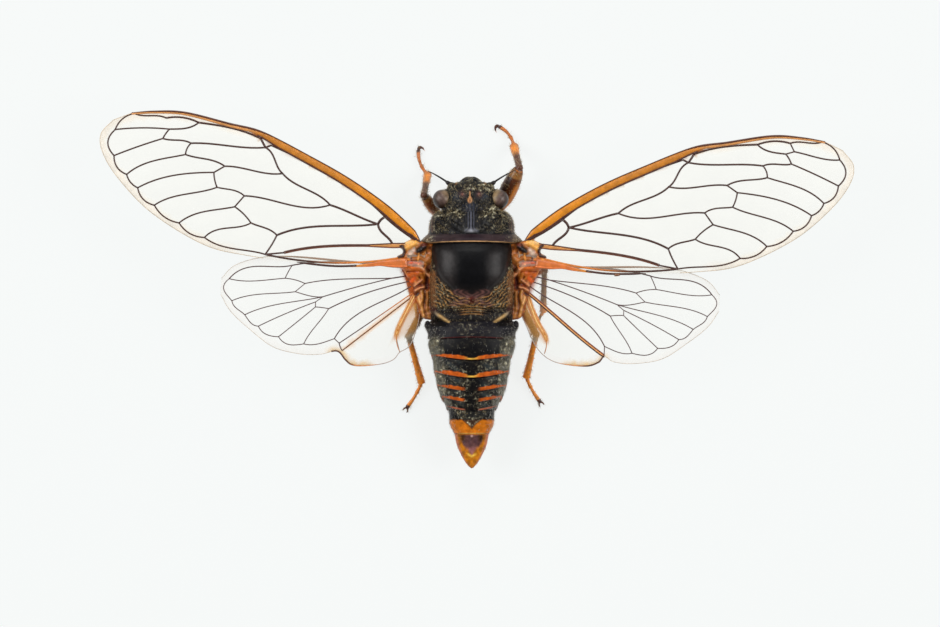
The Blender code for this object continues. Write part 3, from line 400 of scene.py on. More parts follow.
def make_object(name, points, faces, material):
    """A mesh object with its faces turned outwards."""
    obj = mesh_object(name, points, faces, material)
    mesh = obj.data
    shape = bmesh.new()
    shape.from_mesh(mesh)
    bmesh.ops.recalc_face_normals(shape, faces=shape.faces)
    shape.to_mesh(mesh)
    shape.free()
    return obj


def vertices(obj):
    """Places of an object's vertices, in millimetres."""
    places = np.empty(3 * len(obj.data.vertices))
    obj.data.vertices.foreach_get("co", places)
    return places.reshape(-1, 3) / MM


def vertex_normals(obj):
    normals = np.empty(3 * len(obj.data.vertices))
    obj.data.vertex_normals.foreach_get("vector", normals)
    return normals.reshape(-1, 3)


def paint(obj, colours, opacity=1.0):
    """Stores a colour for each vertex, which the object's material reads."""
    layer = obj.data.color_attributes.new("paint", "FLOAT_COLOR", "POINT")
    opacity = np.broadcast_to(opacity, len(colours))
    layer.data.foreach_set("color", np.column_stack((colours, opacity)).astype(np.float32).ravel())


def grade(obj, values, name="gloss"):
    """Stores a number for each vertex, such as its roughness."""
    layer = obj.data.attributes.new(name, "FLOAT", "POINT")
    layer.data.foreach_set("value", np.asarray(values, dtype=np.float32))


def closed_tube(rings):
    """Points and faces of a tube through rings, shape (row, side, 3), with a fan on each end."""
    rows, sides, _ = rings.shape
    points = np.vstack((rings.reshape(-1, 3), rings[0].mean(axis=0), rings[-1].mean(axis=0)))
    faces = []
    for row in range(rows - 1):
        for at in range(sides):
            here, there = row * sides + at, row * sides + (at + 1) % sides
            faces.append((here, there, there + sides, here + sides))
    for row, pole in ((0, rows * sides), (rows - 1, rows * sides + 1)):
        faces += [(row * sides + at, row * sides + (at + 1) % sides, pole) for at in range(sides)]
    return points, faces


def body_rings(table, places, sides, relief=None, tuck=None):
    """Cross-sections of a body piece at many places along it: rounded boxes, with relief on the back."""
    smooth = spline(sorted(table), 8)
    width, top, widest, belly = (np.interp(places, smooth[:, 0], smooth[:, column]) for column in range(1, 5))
    if tuck is not None:
        width, top, belly = width - tuck, top - tuck, belly + tuck * 0.6
    angle = 2 * np.pi * np.arange(sides) / sides
    across, up = np.cos(angle)[None], np.sin(angle)[None]
    power = np.where(up > 0, 2 / BACK_FULLNESS, 2 / BELLY_FULLNESS)
    x = width[:, None] * np.sign(across) * np.abs(across) ** power
    reach = np.where(up > 0, (top - widest)[:, None], (widest - belly)[:, None])
    z = widest[:, None] + reach * np.sign(up) * np.abs(up) ** power
    y = np.repeat(places[:, None], sides, axis=1)
    if relief is not None:
        z = z + relief(x, y) * np.clip(up * 1.5, 0, 1)
    return np.stack((x, y, z), axis=2)


def limb_rings(stations, sides, samples):
    """Rings of a round limb through stations of X, Y, Z and radius."""
    rows = spline(stations, samples)
    line, radius = rows[:, :3], rows[:, 3]
    way = unit(np.gradient(line, axis=0))
    side = unit(np.cross(way, np.array((0.13, 0.21, 0.97))))
    other = np.cross(way, side)
    angle = 2 * np.pi * np.arange(sides) / sides
    spread = side[:, None] * np.cos(angle)[None, :, None] + other[:, None] * np.sin(angle)[None, :, None]
    return line[:, None] + radius[:, None, None] * spread


def ellipsoid_rings(place, radii, rings=40, sides=48):
    """Rings of an ellipsoid round the upright axis, poles left a little open and closed by fans."""
    polar = np.linspace(0.03, np.pi - 0.03, rings)
    angle = 2 * np.pi * np.arange(sides) / sides
    x = np.sin(polar)[:, None] * np.cos(angle)[None]
    y = np.sin(polar)[:, None] * np.sin(angle)[None]
    z = np.repeat(np.cos(polar)[:, None], sides, axis=1)
    return np.array(place) + np.stack((x, y, z), axis=2) * np.array(radii)


def limb(stations, sides, samples):
    return closed_tube(limb_rings(stations, sides, samples))


def ellipsoid(place, radii, rings=40, sides=48):
    return closed_tube(ellipsoid_rings(place, radii, rings, sides))


def joined(pieces):
    """One set of points and faces from several."""
    points, faces, count = [], [], 0
    for piece_points, piece_faces in pieces:
        points.append(piece_points)
        faces += [tuple(count + corner for corner in face) for face in piece_faces]
        count += len(piece_points)
    return np.vstack(points), faces


def fused(name, pieces, voxel, rounds, material):
    """Several closed shapes made one skin by a voxel remesh, then smoothed."""
    obj = make_object(name, *joined(pieces), material)
    remesh = obj.modifiers.new("one skin", "REMESH")
    remesh.mode = "VOXEL"
    remesh.voxel_size = voxel * MM
    even = obj.modifiers.new("even", "SMOOTH")
    even.factor = 0.5
    even.iterations = rounds
    bpy.context.view_layer.update()
    graph = bpy.context.evaluated_depsgraph_get()
    mesh = bpy.data.meshes.new_from_object(obj.evaluated_get(graph))
    obj.modifiers.clear()
    obj.data = mesh
    mesh.polygons.foreach_set("use_smooth", [True] * len(mesh.polygons))
    if not mesh.materials:
        mesh.materials.append(material)
    return obj


def keep(obj, slot, *nodes):
    """Parents a piece to the body's root, and hides the nodes that it stands for. The slot is not used."""
    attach(obj, "root")
    if nodes:
        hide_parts(*nodes)
    return obj


def set_inputs(material, node, values):
    """Sets sockets, by name or number, to a value or to another node's output."""
    for socket, value in values.items():
        if isinstance(value, bpy.types.NodeSocket):
            material.node_tree.links.new(value, node.inputs[socket])
        else:
            node.inputs[socket].default_value = value


def set_shader(material, values):
    set_inputs(material, material.node_tree.nodes["Principled BSDF"], values)


def new_material(name, values):
    """A Principled material with its uniform values on its own sockets."""
    made = bpy.data.materials.new(name)
    made.use_nodes = True
    set_shader(made, values)
    return made


def add_node(material, kind, values, operation=None):
    node = material.node_tree.nodes.new("ShaderNode" + kind)
    if operation:
        node.operation = operation
    set_inputs(material, node, values)
    return node


def attribute(material, name, output="Fac"):
    node = add_node(material, "Attribute", {})
    node.attribute_name = name
    return node.outputs[output]


def painted(material):
    return attribute(material, "paint", "Color")


def in_object(material):
    """Places in the object's own space."""
    return add_node(material, "TexCoord", {}).outputs["Object"]


def noise(material, per_mm, detail=4.0, rough=0.6):
    """Noise with so many lumps to the millimetre."""
    values = {"Vector": in_object(material), "Scale": per_mm / MM, "Detail": detail, "Roughness": rough}
    return add_node(material, "TexNoise", values).outputs["Fac"]


def product(material, first, second):
    return add_node(material, "Math", {0: first, 1: second}, "MULTIPLY").outputs[0]


def vary_colour(material, source, per_mm, low, high):
    """Multiplies a colour by a slow noise between two grey values, and feeds the base colour."""
    ends = {"Value": noise(material, per_mm), "From Min": 0.3, "From Max": 0.7, "To Min": low, "To Max": high}
    scale = add_node(material, "MapRange", ends).outputs["Result"]
    varied = add_node(material, "VectorMath", {"Vector": source, "Scale": scale}, "SCALE")
    set_shader(material, {"Base Color": varied.outputs["Vector"]})


def bump(material, sources, depth_mm):
    """Bump from one or two outputs, each with its share."""
    total = None
    for output, share in sources:
        scaled = product(material, output, share)
        total = add_node(material, "Math", {0: total, 1: scaled}, "ADD").outputs[0] if total else scaled
    node = add_node(material, "Bump", {"Strength": 1.0, "Distance": depth_mm * MM, "Height": total})
    set_shader(material, {"Normal": node.outputs["Normal"]})


# Sockets of a Mix node that mixes colours, by number, because several of them share a name
MIX_SHARE, MIX_FIRST, MIX_SECOND, MIX_RESULT = 0, 6, 7, 2
# Lumps to the millimetre of the patches that down stands in, and the noise at which they start and end
DOWN_PATCHES = (1.5, 0.40, 0.58)


def dusted(material, source, flecks, shade):
    """Flecks of pale down over a colour, as much of them as the attribute "dust" says."""
    share = attribute(material, "dust")
    for scale, low, high in (flecks, DOWN_PATCHES):
        ends = {"Value": noise(material, scale, 3.0, 0.7), "From Min": low, "From Max": high}
        share = product(material, add_node(material, "MapRange", ends).outputs["Result"], share)
    both = material.node_tree.nodes.new("ShaderNodeMix")
    both.data_type = "RGBA"
    set_inputs(material, both, {MIX_SHARE: share, MIX_FIRST: source, MIX_SECOND: (*shade, 1)})
    return both.outputs[MIX_RESULT]


def make_materials():
    plate = new_material("cuticle", {"Specular IOR Level": 0.15})
    down = dusted(plate, painted(plate), (10.0, 0.48, 0.66), tone(134, 120, 88))
    flecks = dusted(plate, down, (4.5, 0.55, 0.64), tone(224, 216, 182))
    vary_colour(plate, flecks, 3.0, 0.62, 1.38)
    set_shader(plate, {"Roughness": attribute(plate, "gloss")})
    rough_part = product(plate, noise(plate, 6.0), attribute(plate, "dust"))
    bump(plate, ((rough_part, 2.4), (noise(plate, 2.0), 0.5)), 0.05)

    amber = new_material("limb cuticle", {
        "Roughness": 0.34, "Coat Weight": 0.15, "Coat Roughness": 0.2, "Specular IOR Level": 0.3,
        "Subsurface Weight": 0.1, "Subsurface Scale": 0.2 * MM,
    })
    vary_colour(amber, painted(amber), 3.0, 0.75, 1.25)
    bump(amber, ((noise(amber, 8.0), 1.0),), 0.012)

    eye = new_material("eye", {
        "Roughness": 0.36, "Coat Weight": 0.2, "Coat Roughness": 0.25, "Specular IOR Level": 0.35,
    })
    vary_colour(eye, painted(eye), 3.4, 0.6, 1.4)
    facets = add_node(eye, "TexVoronoi", {"Vector": in_object(eye), "Scale": 22.0 / MM, "Randomness": 0.35})
    bump(eye, ((facets.outputs["Distance"], -0.8),), 0.012)

    vein = new_material("vein", {"Roughness": 0.35, "Coat Weight": 0.25, "Coat Roughness": 0.2})
    vary_colour(vein, painted(vein), 2.5, 0.8, 1.25)
    bump(vein, ((noise(vein, 12.0), 1.0),), 0.012)

    film = new_material("membrane", {"Roughness": 0.16, "Specular IOR Level": 0.35, "IOR": 1.4})
    vary_colour(film, painted(film), 0.7, 0.93, 1.05)
    set_shader(film, {"Alpha": attribute(film, "paint", "Alpha")})
    bump(film, ((noise(film, 2.2), 1.0), (noise(film, 12.0), 0.12)), 0.05)

    hair = new_material("hair", {"Roughness": 0.38, "Specular IOR Level": 0.6})
    vary_colour(hair, painted(hair), 4.0, 0.8, 1.2)
    return {"plate": plate, "limb": amber, "eye": eye, "vein": vein, "film": film, "hair": hair}


# Head

def near_segment(x, y, ends):
    """Distance from points to a straight line between two ends."""
    start, end = np.array(ends[0]), np.array(ends[1])
    run = end - start
    share = np.clip(((x - start[0]) * run[0] + (y - start[1]) * run[1]) / (run @ run), 0, 1)
    return np.hypot(x - start[0] - share * run[0], y - start[1] - share * run[1])


def near_any(x, y, lines):
    return np.minimum(*(near_segment(x, y, ends) for ends in lines))


def face_rings():
    """The swollen face plate, with cross ridges on both sides of its middle line."""
    rings = ellipsoid_rings((0, 0, 0), (1, 1, 1), 150, 120)
    polar = np.arccos(np.clip(rings[..., 2], -1, 1))
    away = np.abs(rings[..., 0])
    ridges = np.sin(polar * 20) * step(away, 0.10, 0.25) * step(rings[..., 1], -0.2, 0.2)
    rings = rings * (1 + 0.022 * ridges - 0.03 * bell(away, 0.09))[..., None]
    return np.array((HEAD_SHIFT, 6.72, 3.15)) + rings * np.array((0.98, 1.03, 1.45))


def head_relief(x, y):
    """Furrows beside the small eyes, and a groove along the middle of the crown."""
    side = np.abs(x)
    groove = -0.07 * bell(x, 0.09) * band(y, 5.9, 6.75, 0.15)
    swell = 0.05 * bell(side - 0.62, 0.34) * band(y, 5.8, 6.9, 0.3)
    furrow = -0.10 * bell(side - 1.05, 0.14) * band(y, 5.9, 7.0, 0.2)
    pits = 0.03 * np.sin(11.0 * x + 2 * np.sin(3 * y)) * np.sin(12.0 * y + 1.3) * step(side, 0.3, 0.6)
    return groove + swell + furrow + pits


# Bands of gold down that run out from the middle behind the eyes
DOWN_BAND = ((0.72, 5.02), (1.62, 5.62))
# Swellings on both sides of the head, with their radii: over the feeler, cheek, feeler's socket, eye's socket
CHEEKS = (
    ((1.10, 7.03, 4.02), (0.42, 0.27, 0.17)),
    ((1.25, 6.95, 3.05), (0.35, 0.40, 0.75)),
    ((1.32, 7.12, 3.62), (0.22, 0.24, 0.22)),
    ((1.62, 6.18, 3.78), (0.60, 0.70, 0.66)),
)
# Feelers and beak, as X, Y, Z and radius
FEELER_ROOT = ((1.38, 7.16, 3.58, 0.16), (1.58, 7.32, 3.62, 0.14), (1.70, 7.40, 3.62, 0.075))
FEELER_BRISTLE = (
    (1.62, 7.36, 3.62, 0.07), (2.05, 7.64, 3.68, 0.06), (2.50, 7.90, 3.78, 0.045), (2.90, 8.10, 3.90, 0.02),
)
BEAK = (
    (HEAD_SHIFT, 6.60, 1.30, 0.34), (-0.05, 6.05, 0.92, 0.27), (-0.03, 5.00, 0.74, 0.20),
    (0.0, 3.60, 0.62, 0.17), (0.0, 2.75, 0.55, 0.08),
)


def build_head(looks):
    crown = body_rings(CRANIUM, np.linspace(5.24, 7.37, 90), 180, head_relief)
    crown[..., 0] += HEAD_SHIFT
    pieces = [closed_tube(crown), closed_tube(face_rings())]
    pieces.append(ellipsoid((HEAD_SHIFT, 6.55, 2.05), (0.55, 0.62, 0.62)))
    for side in (-1, 1):
        for (x, y, z), radii in CHEEKS:
            pieces.append(ellipsoid((side * x + HEAD_SHIFT, y, z), radii))
    for x, y, z in OCELLI:
        pieces.append(ellipsoid((x + HEAD_SHIFT, y, z - 0.02), (0.23, 0.23, 0.13)))
    head = fused("head", pieces, 0.04, 3, looks["plate"])
    places = vertices(head)
    x, y, z = places.T
    side = np.abs(x - HEAD_SHIFT)
    coat = Coat(places, (13, 12, 13))
    away = x - HEAD_SHIFT + 0.05
    sheen = bell(away, 0.42) * step(y, 6.10, 5.70) * (z > 4)
    coat.lay((66, 70, 84), 0.75 * sheen * (0.65 + 0.35 * np.cos(2 * np.pi * away / 0.24)))
    # Painted blue-grey sheen on the crown, on both sides beside the small eyes
    blue = bell(side - 0.95, 0.22) * bell(y - 6.35, 0.25) * (z > 4)
    coat.lay((58, 66, 76), 0.6 * blue)
    round_eyes = bell(side - 0.60, 0.22) * bell(y - 6.50, 0.22) * (z > 4)
    coat.lay((80, 50, 48), 0.7 * round_eyes)
    thin = 0.045 + 0.11 * band(y, 5.95, 6.28, 0.12)
    streak = np.exp(-((away / thin) ** 4)) * band(y, 5.88, 6.78, 0.08) * (z > 4)
    fork = bell(away, 0.045) * step(y, 6.30, 6.05)
    coat.lay((196, 140, 92), 0.85 * streak * (1 - 0.8 * fork))
    coat.lay((120, 66, 34), 0.8 * step(z, 2.7, 1.9))
    seam = bell(side - 0.98, 0.07) * band(y, 6.9, 7.4, 0.1) * (z < 4.2)
    coat.lay((150, 100, 55), 0.6 * seam)
    paint(head, coat.colours)
    grade(head, 0.36 + 0.16 * step(y, 6.6, 7.1))
    front = step(y, 6.50, 6.90)
    gold = bell(near_segment(side, y, DOWN_BAND), 0.20)
    tufts = bell(side - 1.62, 0.28) * step(y, 5.75, 5.55)
    grade(head, np.clip(0.06 + 0.75 * front + gold + tufts, 0, 1) * (1 - streak), "dust")
    keep(head, "cuticle_black", "head")

    for side, name in ((-1, "eye_left"), (1, "eye_right")):
        place = (side * EYE_PLACE[0] + HEAD_SHIFT, EYE_PLACE[1], EYE_PLACE[2])
        eye = make_object(name + "_lens", *ellipsoid(place, [EYE_RADIUS] * 3, 60, 90), looks["eye"])
        places = vertices(eye) - place
        coat = Coat(places, (46, 30, 22))
        # Painted light: the eye is lighter where it faces up, towards the lamps
        coat.lay((94, 74, 66), step(places @ unit(np.array((-side * 0.15, 0.25, 0.95))), 0.25, 0.66))
        streaks = 0.5 + 0.5 * np.sin(26 * (places[:, 0] * 0.8 - side * places[:, 1] * 0.6))
        coat.lay((46, 30, 26), 0.40 * streaks)
        inner = step(-side * places[:, 0] + 0.45 * places[:, 1], 0.02, 0.36) * (places[:, 2] > 0)
        coat.lay((138, 114, 76), (0.75 if side > 0 else 0.40) * inner)
        # Painted shade on the outer rear side of the eye, below its top
        rim = step(places @ unit(np.array((side * 0.7, -0.6, 0.5))), 0.50, 0.60)
        coat.lay((24, 15, 13), 0.8 * rim * step(places[:, 2], 0.45, 0.30))
        paint(eye, coat.colours)
        keep(eye, "eye", name)
    small = []
    for x, y, z in OCELLI:
        small.append(ellipsoid((x + HEAD_SHIFT, y, z + 0.02), (0.14, 0.14, 0.11), 20, 28))
    ocelli = make_object("ocelli", *joined(small), looks["eye"])
    places = vertices(ocelli)
    coat = Coat(places, (92, 48, 40))
    coat.lay((34, 12, 10), step(places[:, 1], 6.66, 6.68))
    paint(ocelli, coat.colours)
    keep(ocelli, "eye")
    return head


def build_feelers(looks):
    for side, name in ((-1, "antenna_left"), (1, "antenna_right")):
        pieces = []
        for rows in (FEELER_ROOT, FEELER_BRISTLE):
            moved = [(side * x + HEAD_SHIFT, y, z, radius) for x, y, z, radius in rows]
            pieces.append(limb(moved, 16, 8))
        feeler = make_object(name + "_bristle", *joined(pieces), looks["limb"])
        paint(feeler, Coat(feeler.data.vertices, (24, 16, 16)).colours)
        keep(feeler, "cuticle_black", name)
    rostrum = make_object("beak", *limb(BEAK, 32, 16), looks["limb"])
    y = vertices(rostrum)[:, 1]
    paint(rostrum, Coat(y, (150, 90, 42)).lay((32, 22, 18), step(y, 4.4, 3.2)).colours)
    keep(rostrum, "cuticle_black", "rostrum")


# Thorax

# The two slanting furrows of the pronotum, on the right side
FURROWS = (((0.62, 3.98), (1.95, 4.90)), ((1.55, 3.72), (2.45, 4.45)))


def furrow_share(x, y):
    return bell(near_any(np.abs(x), y, FURROWS), 0.20)


def pronotum_relief(x, y):
    ridge = 0.13 * bell(x, 0.24 + 0.30 * step(y, 4.4, 3.95)) * step(y, 3.70, 3.95)
    ridge *= 1 + 0.3 * np.cos(2 * np.pi * x / 0.19)
    depth = furrow_share(x, y)
    behind = step(y, 3.75, 4.0)
    bowl = np.hypot(np.abs(x) - 1.35, 0.8 * (y - 4.35))
    wrinkles = 0.035 * np.sin(2 * np.pi * bowl / 0.27) * step(bowl, 0.35, 0.8) * behind
    pits = 0.035 * np.sin(11.0 * x + 3 * np.sin(3 * y)) * np.sin(10.0 * y + 2.0 * np.abs(x)) * behind
    collar = 0.03 * bell(y - 3.30, 0.08) - 0.05 * bell(y - 3.74, 0.07)
    return ridge - 0.18 * depth * step(y, 3.72, 3.95) + wrinkles + pits * step(np.abs(x), 0.3, 0.6) + collar


def build_pronotum(looks):
    rings = body_rings(PRONOTUM, np.linspace(5.36, 3.13, 110), 240, pronotum_relief)
    plate = fused("pronotum_plate", [closed_tube(rings)], 0.045, 2, looks["plate"])
    places = vertices(plate)
    x, y, z = places.T
    side = np.abs(x)
    coat = Coat(places, (15, 14, 16))
    # Painted blue-grey sheen along the middle keel in fine lines, brightest where it widens into a T at its
    # foot
    wide = 0.24 + 0.34 * step(y, 4.25, 3.95)
    middle = bell(x + 0.05, wide) * step(y, 3.86, 4.02) * (z > 4)
    lines = 0.45 + 0.55 * np.cos(2 * np.pi * (x + 0.05) / (0.8 * wide))
    coat.lay((104, 106, 120), 0.7 * middle * lines)
    foot = bell(x + 0.05, 0.30) * bell(y - 4.02, 0.12)
    coat.lay((150, 150, 158), 0.6 * foot * (z > 4))
    furrow = furrow_share(x, y)
    # Painted shade in the two slanting furrows
    coat.lay((6, 6, 6), 0.6 * furrow * (z > 4))
    rims = step(side, 2.45, 2.75) * (0.5 + 0.5 * np.cos(2 * np.pi * side / 0.16))
    coat.lay((104, 78, 68), 0.7 * rims * step(y, 3.8, 4.0) * (z > 3))
    collar = step(y, 3.82, 3.72) * step(z, 2.4, 3.2)
    coat.lay((50, 36, 38), 0.9 * collar)
    coat.lay((34, 20, 28), 0.7 * collar * step(side, 1.0, 0.5))
    coat.lay((96, 74, 50), 0.8 * collar * step(side, 2.6, 3.1))
    rear_edge = 3.235 - 0.012 * side**2
    rim = band(y, rear_edge + 0.02, rear_edge + 0.08, 0.02) * step(z, 2.4, 3.2)
    coat.lay((204, 158, 108), 0.95 * rim)
    coat.lay((20, 14, 14), step(y, rear_edge + 0.01, rear_edge - 0.02))
    coat.lay((128, 74, 38), 0.75 * step(z, 2.3, 1.6))
    paint(plate, coat.colours)
    grade(plate, 0.34 + 0.1 * step(side, 1.2, 2.4))
    lobes = bell(side - 2.0, 0.6) * (1 - 0.5 * furrow)
    gold = bell(near_segment(side, y, DOWN_BAND), 0.20)
    tufts = bell(side - 2.05, 0.40) * step(y, 4.85, 5.05)
    down = (0.08 + 0.66 * lobes + gold + 0.8 * tufts) * step(y, 3.75, 3.95) * (1 - 0.8 * middle)
    grade(plate, np.clip(down, 0, 1) + 0.5 * collar * step(side, 2.3, 2.9), "dust")
    keep(plate, "cuticle_black", "pronotum")
    return plate


# Outline of the black shield of the mesothorax: Y and half width
SHIELD = (
    (3.3, 2.78), (2.7, 2.76), (2.0, 2.68), (1.33, 2.46), (0.65, 2.08), (0.1, 1.50), (-0.30, 1.10),
    (-0.5, 0.0),
)
# Arms of the raised cross behind it, on the right side
CROSS = (((0.0, -0.66), (1.02, -0.12)), ((0.0, -0.66), (1.24, -1.12)))
# The pale slanting ridges of the metathorax, on the right side
RIB = ((2.74, -1.46), (2.24, -1.78), (1.58, -2.24))


def shield_edge(x, y):
    """How far inside the shield's outline a point is, or outside where it is negative."""
    table = np.array(SHIELD)[::-1]
    spots = np.column_stack((np.abs(x).ravel(), y.ravel()))
    away = distance_to_lines(spots, [table[:, ::-1]]).reshape(x.shape)
    return np.where(np.abs(x) < np.interp(y, table[:, 0], table[:, 1], left=-1.0), away, -away)


def wrinkle_wave(x, y, inside):
    """From -1 to 1 across the wrinkles that run round the shield."""
    wave = 0.05 * np.sin(7.0 * x + 1.0) + 0.04 * np.sin(11.0 * y + 4.0 * np.abs(x))
    return np.sin((inside + wave) * 2 * np.pi / 0.23)


def cross_share(x, y):
    return bell(near_any(np.abs(x), y, CROSS), 0.24)


def rib_share(x, y, width):
    return bell(near_any(np.abs(x), y, (RIB[:2], RIB[1:])), width)


def arc_wave(x, y):
    """From -1 to 1 across the fine arcs behind the cross."""
    return np.sin((y + 0.10 * x**2) * 2 * np.pi / 0.17)


def hollow_share(x, y):
    """1 in the hollows behind the pale slanting ridges, over the front of the abdomen, which are sunk and
    dark with painted shade.
    """
    side = np.abs(x)
    behind = -1.51 - 0.66 * (2.73 - side) - y
    return step(behind, 0.14, 0.26) * band(side, 1.72, 2.76, 0.08) * step(y, -2.58, -2.46)


def thorax_relief(x, y):
    inside = shield_edge(x, y)
    shield = 0.16 * step(inside, 0.0, 0.30) * step(y, -0.35, 0.0) - 0.05 * bell(inside, 0.10)
    cross = 0.15 * cross_share(x, y) + 0.10 * bell(x, 0.3) * bell(y + 0.66, 0.26)
    hollows = 0.14 * bell(x, 0.13) * bell(y + 0.78, 0.17) + 0.14 * band(y, -1.36, -1.28, 0.06)
    hollows += 0.30 * hollow_share(x, y)
    border = 0.05 * wrinkle_wave(x, y, inside) * step(-inside, 0.05, 0.2) * step(y, -1.30, -1.15)
    arcs = 0.03 * arc_wave(x, y) * band(y, -1.75, -1.10, 0.06) * step(np.abs(x), 1.6, 0.9)
    grain = 0.02 * np.sin(19.0 * x + 3 * np.sin(5 * y)) * np.sin(17.0 * y) * step(inside, 0.05, -0.05)
    return shield + cross - hollows + 0.16 * rib_share(x, y, 0.12) + border + arcs + grain


def build_thorax(looks):
    rings = body_rings(THORAX, np.linspace(3.28, -2.48, 150), 240, thorax_relief)
    thorax = fused("thorax_plates", [closed_tube(rings)], 0.04, 2, looks["plate"])
    places = vertices(thorax)
    x, y, z = places.T
    side = np.abs(x)
    top = step(z, 4.6, 5.1)
    inside = shield_edge(x, y)
    coat = Coat(places, (24, 14, 10))
    crests = step(wrinkle_wave(x, y, inside), -0.2, 0.8) * step(-inside, 0.04, 0.14) * top
    crests *= step(y, -1.25, -1.15) * (0.6 + 0.4 * np.sin(9.0 * x + 5.0 * np.sin(6.0 * y)))
    coat.lay(Coat(y, (158, 112, 60)).lay((186, 136, 70), step(y, -0.7, -1.1)), 0.9 * crests)
    on_shield = step(inside, -0.02, 0.08) * top
    coat.lay((6, 6, 8), on_shield)
    # Painted sheen: the black shield is lighter towards its edge, out from about a millimetre inside it,
    # where the side lamps reflect
    painted_edge_sheen = step(inside, 0.95, 0.25) * on_shield
    coat.lay((24, 20, 19), 0.7 * painted_edge_sheen)
    sheen = band(side, 1.20, 2.20, 0.5) * band(y, 0.3, 2.8, 0.8) * on_shield
    coat.lay((48, 43, 42), (0.55 + 0.15 * (x < 0)) * sheen)
    cross = cross_share(x, y) * top * band(y, -1.15, 0.0, 0.10)
    mottle = 0.6 + 0.4 * np.sin(15.0 * side + 4.0 * np.sin(9.0 * y))
    coat.lay((108, 72, 66), 0.8 * np.clip(cross * 1.3, 0, 1) * mottle)
    heart = bell(x, 0.19) * band(y, -1.00, -0.48, 0.08) * top
    coat.lay((70, 16, 8), 0.95 * heart)
    arcs = step(arc_wave(x, y), -0.2, 0.7) * band(y, -1.75, -1.15, 0.05)
    coat.lay((150, 104, 56), 0.75 * arcs * step(side, 1.5, 0.7) * top)
    behind = step(y, -1.30, -1.42) * top * np.maximum(step(side, 0.5, 0.9), step(y, -1.7, -1.85))
    coat.lay((14, 12, 15), 0.9 * behind)
    slant = Coat(y, (168, 134, 84)).lay((222, 200, 168), step(side, 2.2, 2.6))
    coat.lay(slant, 0.95 * np.clip(1.3 * rib_share(x, y, 0.10), 0, 1) * top)
    # Painted shade, nearly black, in the hollows behind the pale ridges
    shaded_hollow = hollow_share(x, y) * step(z, 4.2, 4.5)
    coat.lay((3, 2, 3), shaded_hollow * (rib_share(x, y, 0.10) < 0.3))
    edge_gold = band(side, 2.45, 2.90, 0.12) * band(y, -1.2, 1.2, 0.2) * band(z, 4.4, 5.7, 0.2)
    coat.lay((116, 70, 32), 0.7 * edge_gold * (1 - on_shield))
    rear_corner = bell(side - 2.62, 0.25) * bell(y + 1.35, 0.28)
    coat.lay((62, 26, 22), 0.8 * rear_corner)
    belly = step(z, 3.0, 2.0)
    coat.lay((140, 82, 40), 0.7 * belly * (0.5 + 0.5 * np.sin(3.1 * y)))
    paint(thorax, coat.colours)
    grade(thorax, 0.5 + (0.33 - 0.5) * on_shield)
    down = 0.30 * (1 - on_shield) * top * (1 - 0.75 * behind) * (1 - cross) + 0.02 * (1 - on_shield)
    grade(thorax, down * (1 - shaded_hollow), "dust")
    keep(thorax, "cuticle_black", "mesothorax", "metathorax")
    return thorax


# Wing bases: the outline of the folded skin and hard pieces between the wings and the side
WING_BASE_OUTLINE = (
    (2.62, 3.12), (3.00, 3.27), (3.45, 3.30), (3.78, 3.44), (4.20, 3.40), (4.60, 3.22), (4.95, 3.08),
    (5.02, 2.92), (4.74, 2.72), (4.74, 2.48), (5.06, 2.30), (5.10, 2.12), (4.95, 1.80), (4.90, 1.50),
    (4.66, 1.30), (4.50, 1.00), (4.36, 0.72), (4.22, 0.48), (4.04, 0.28), (3.98, 0.02), (3.96, -0.24),
    (3.84, -0.50), (3.76, -0.80), (3.70, -1.20), (3.58, -1.60), (3.36, -1.92), (3.05, -2.05), (2.62, -1.95),
    (2.50, -0.80), (2.50, 0.50), (2.60, 1.80),
)
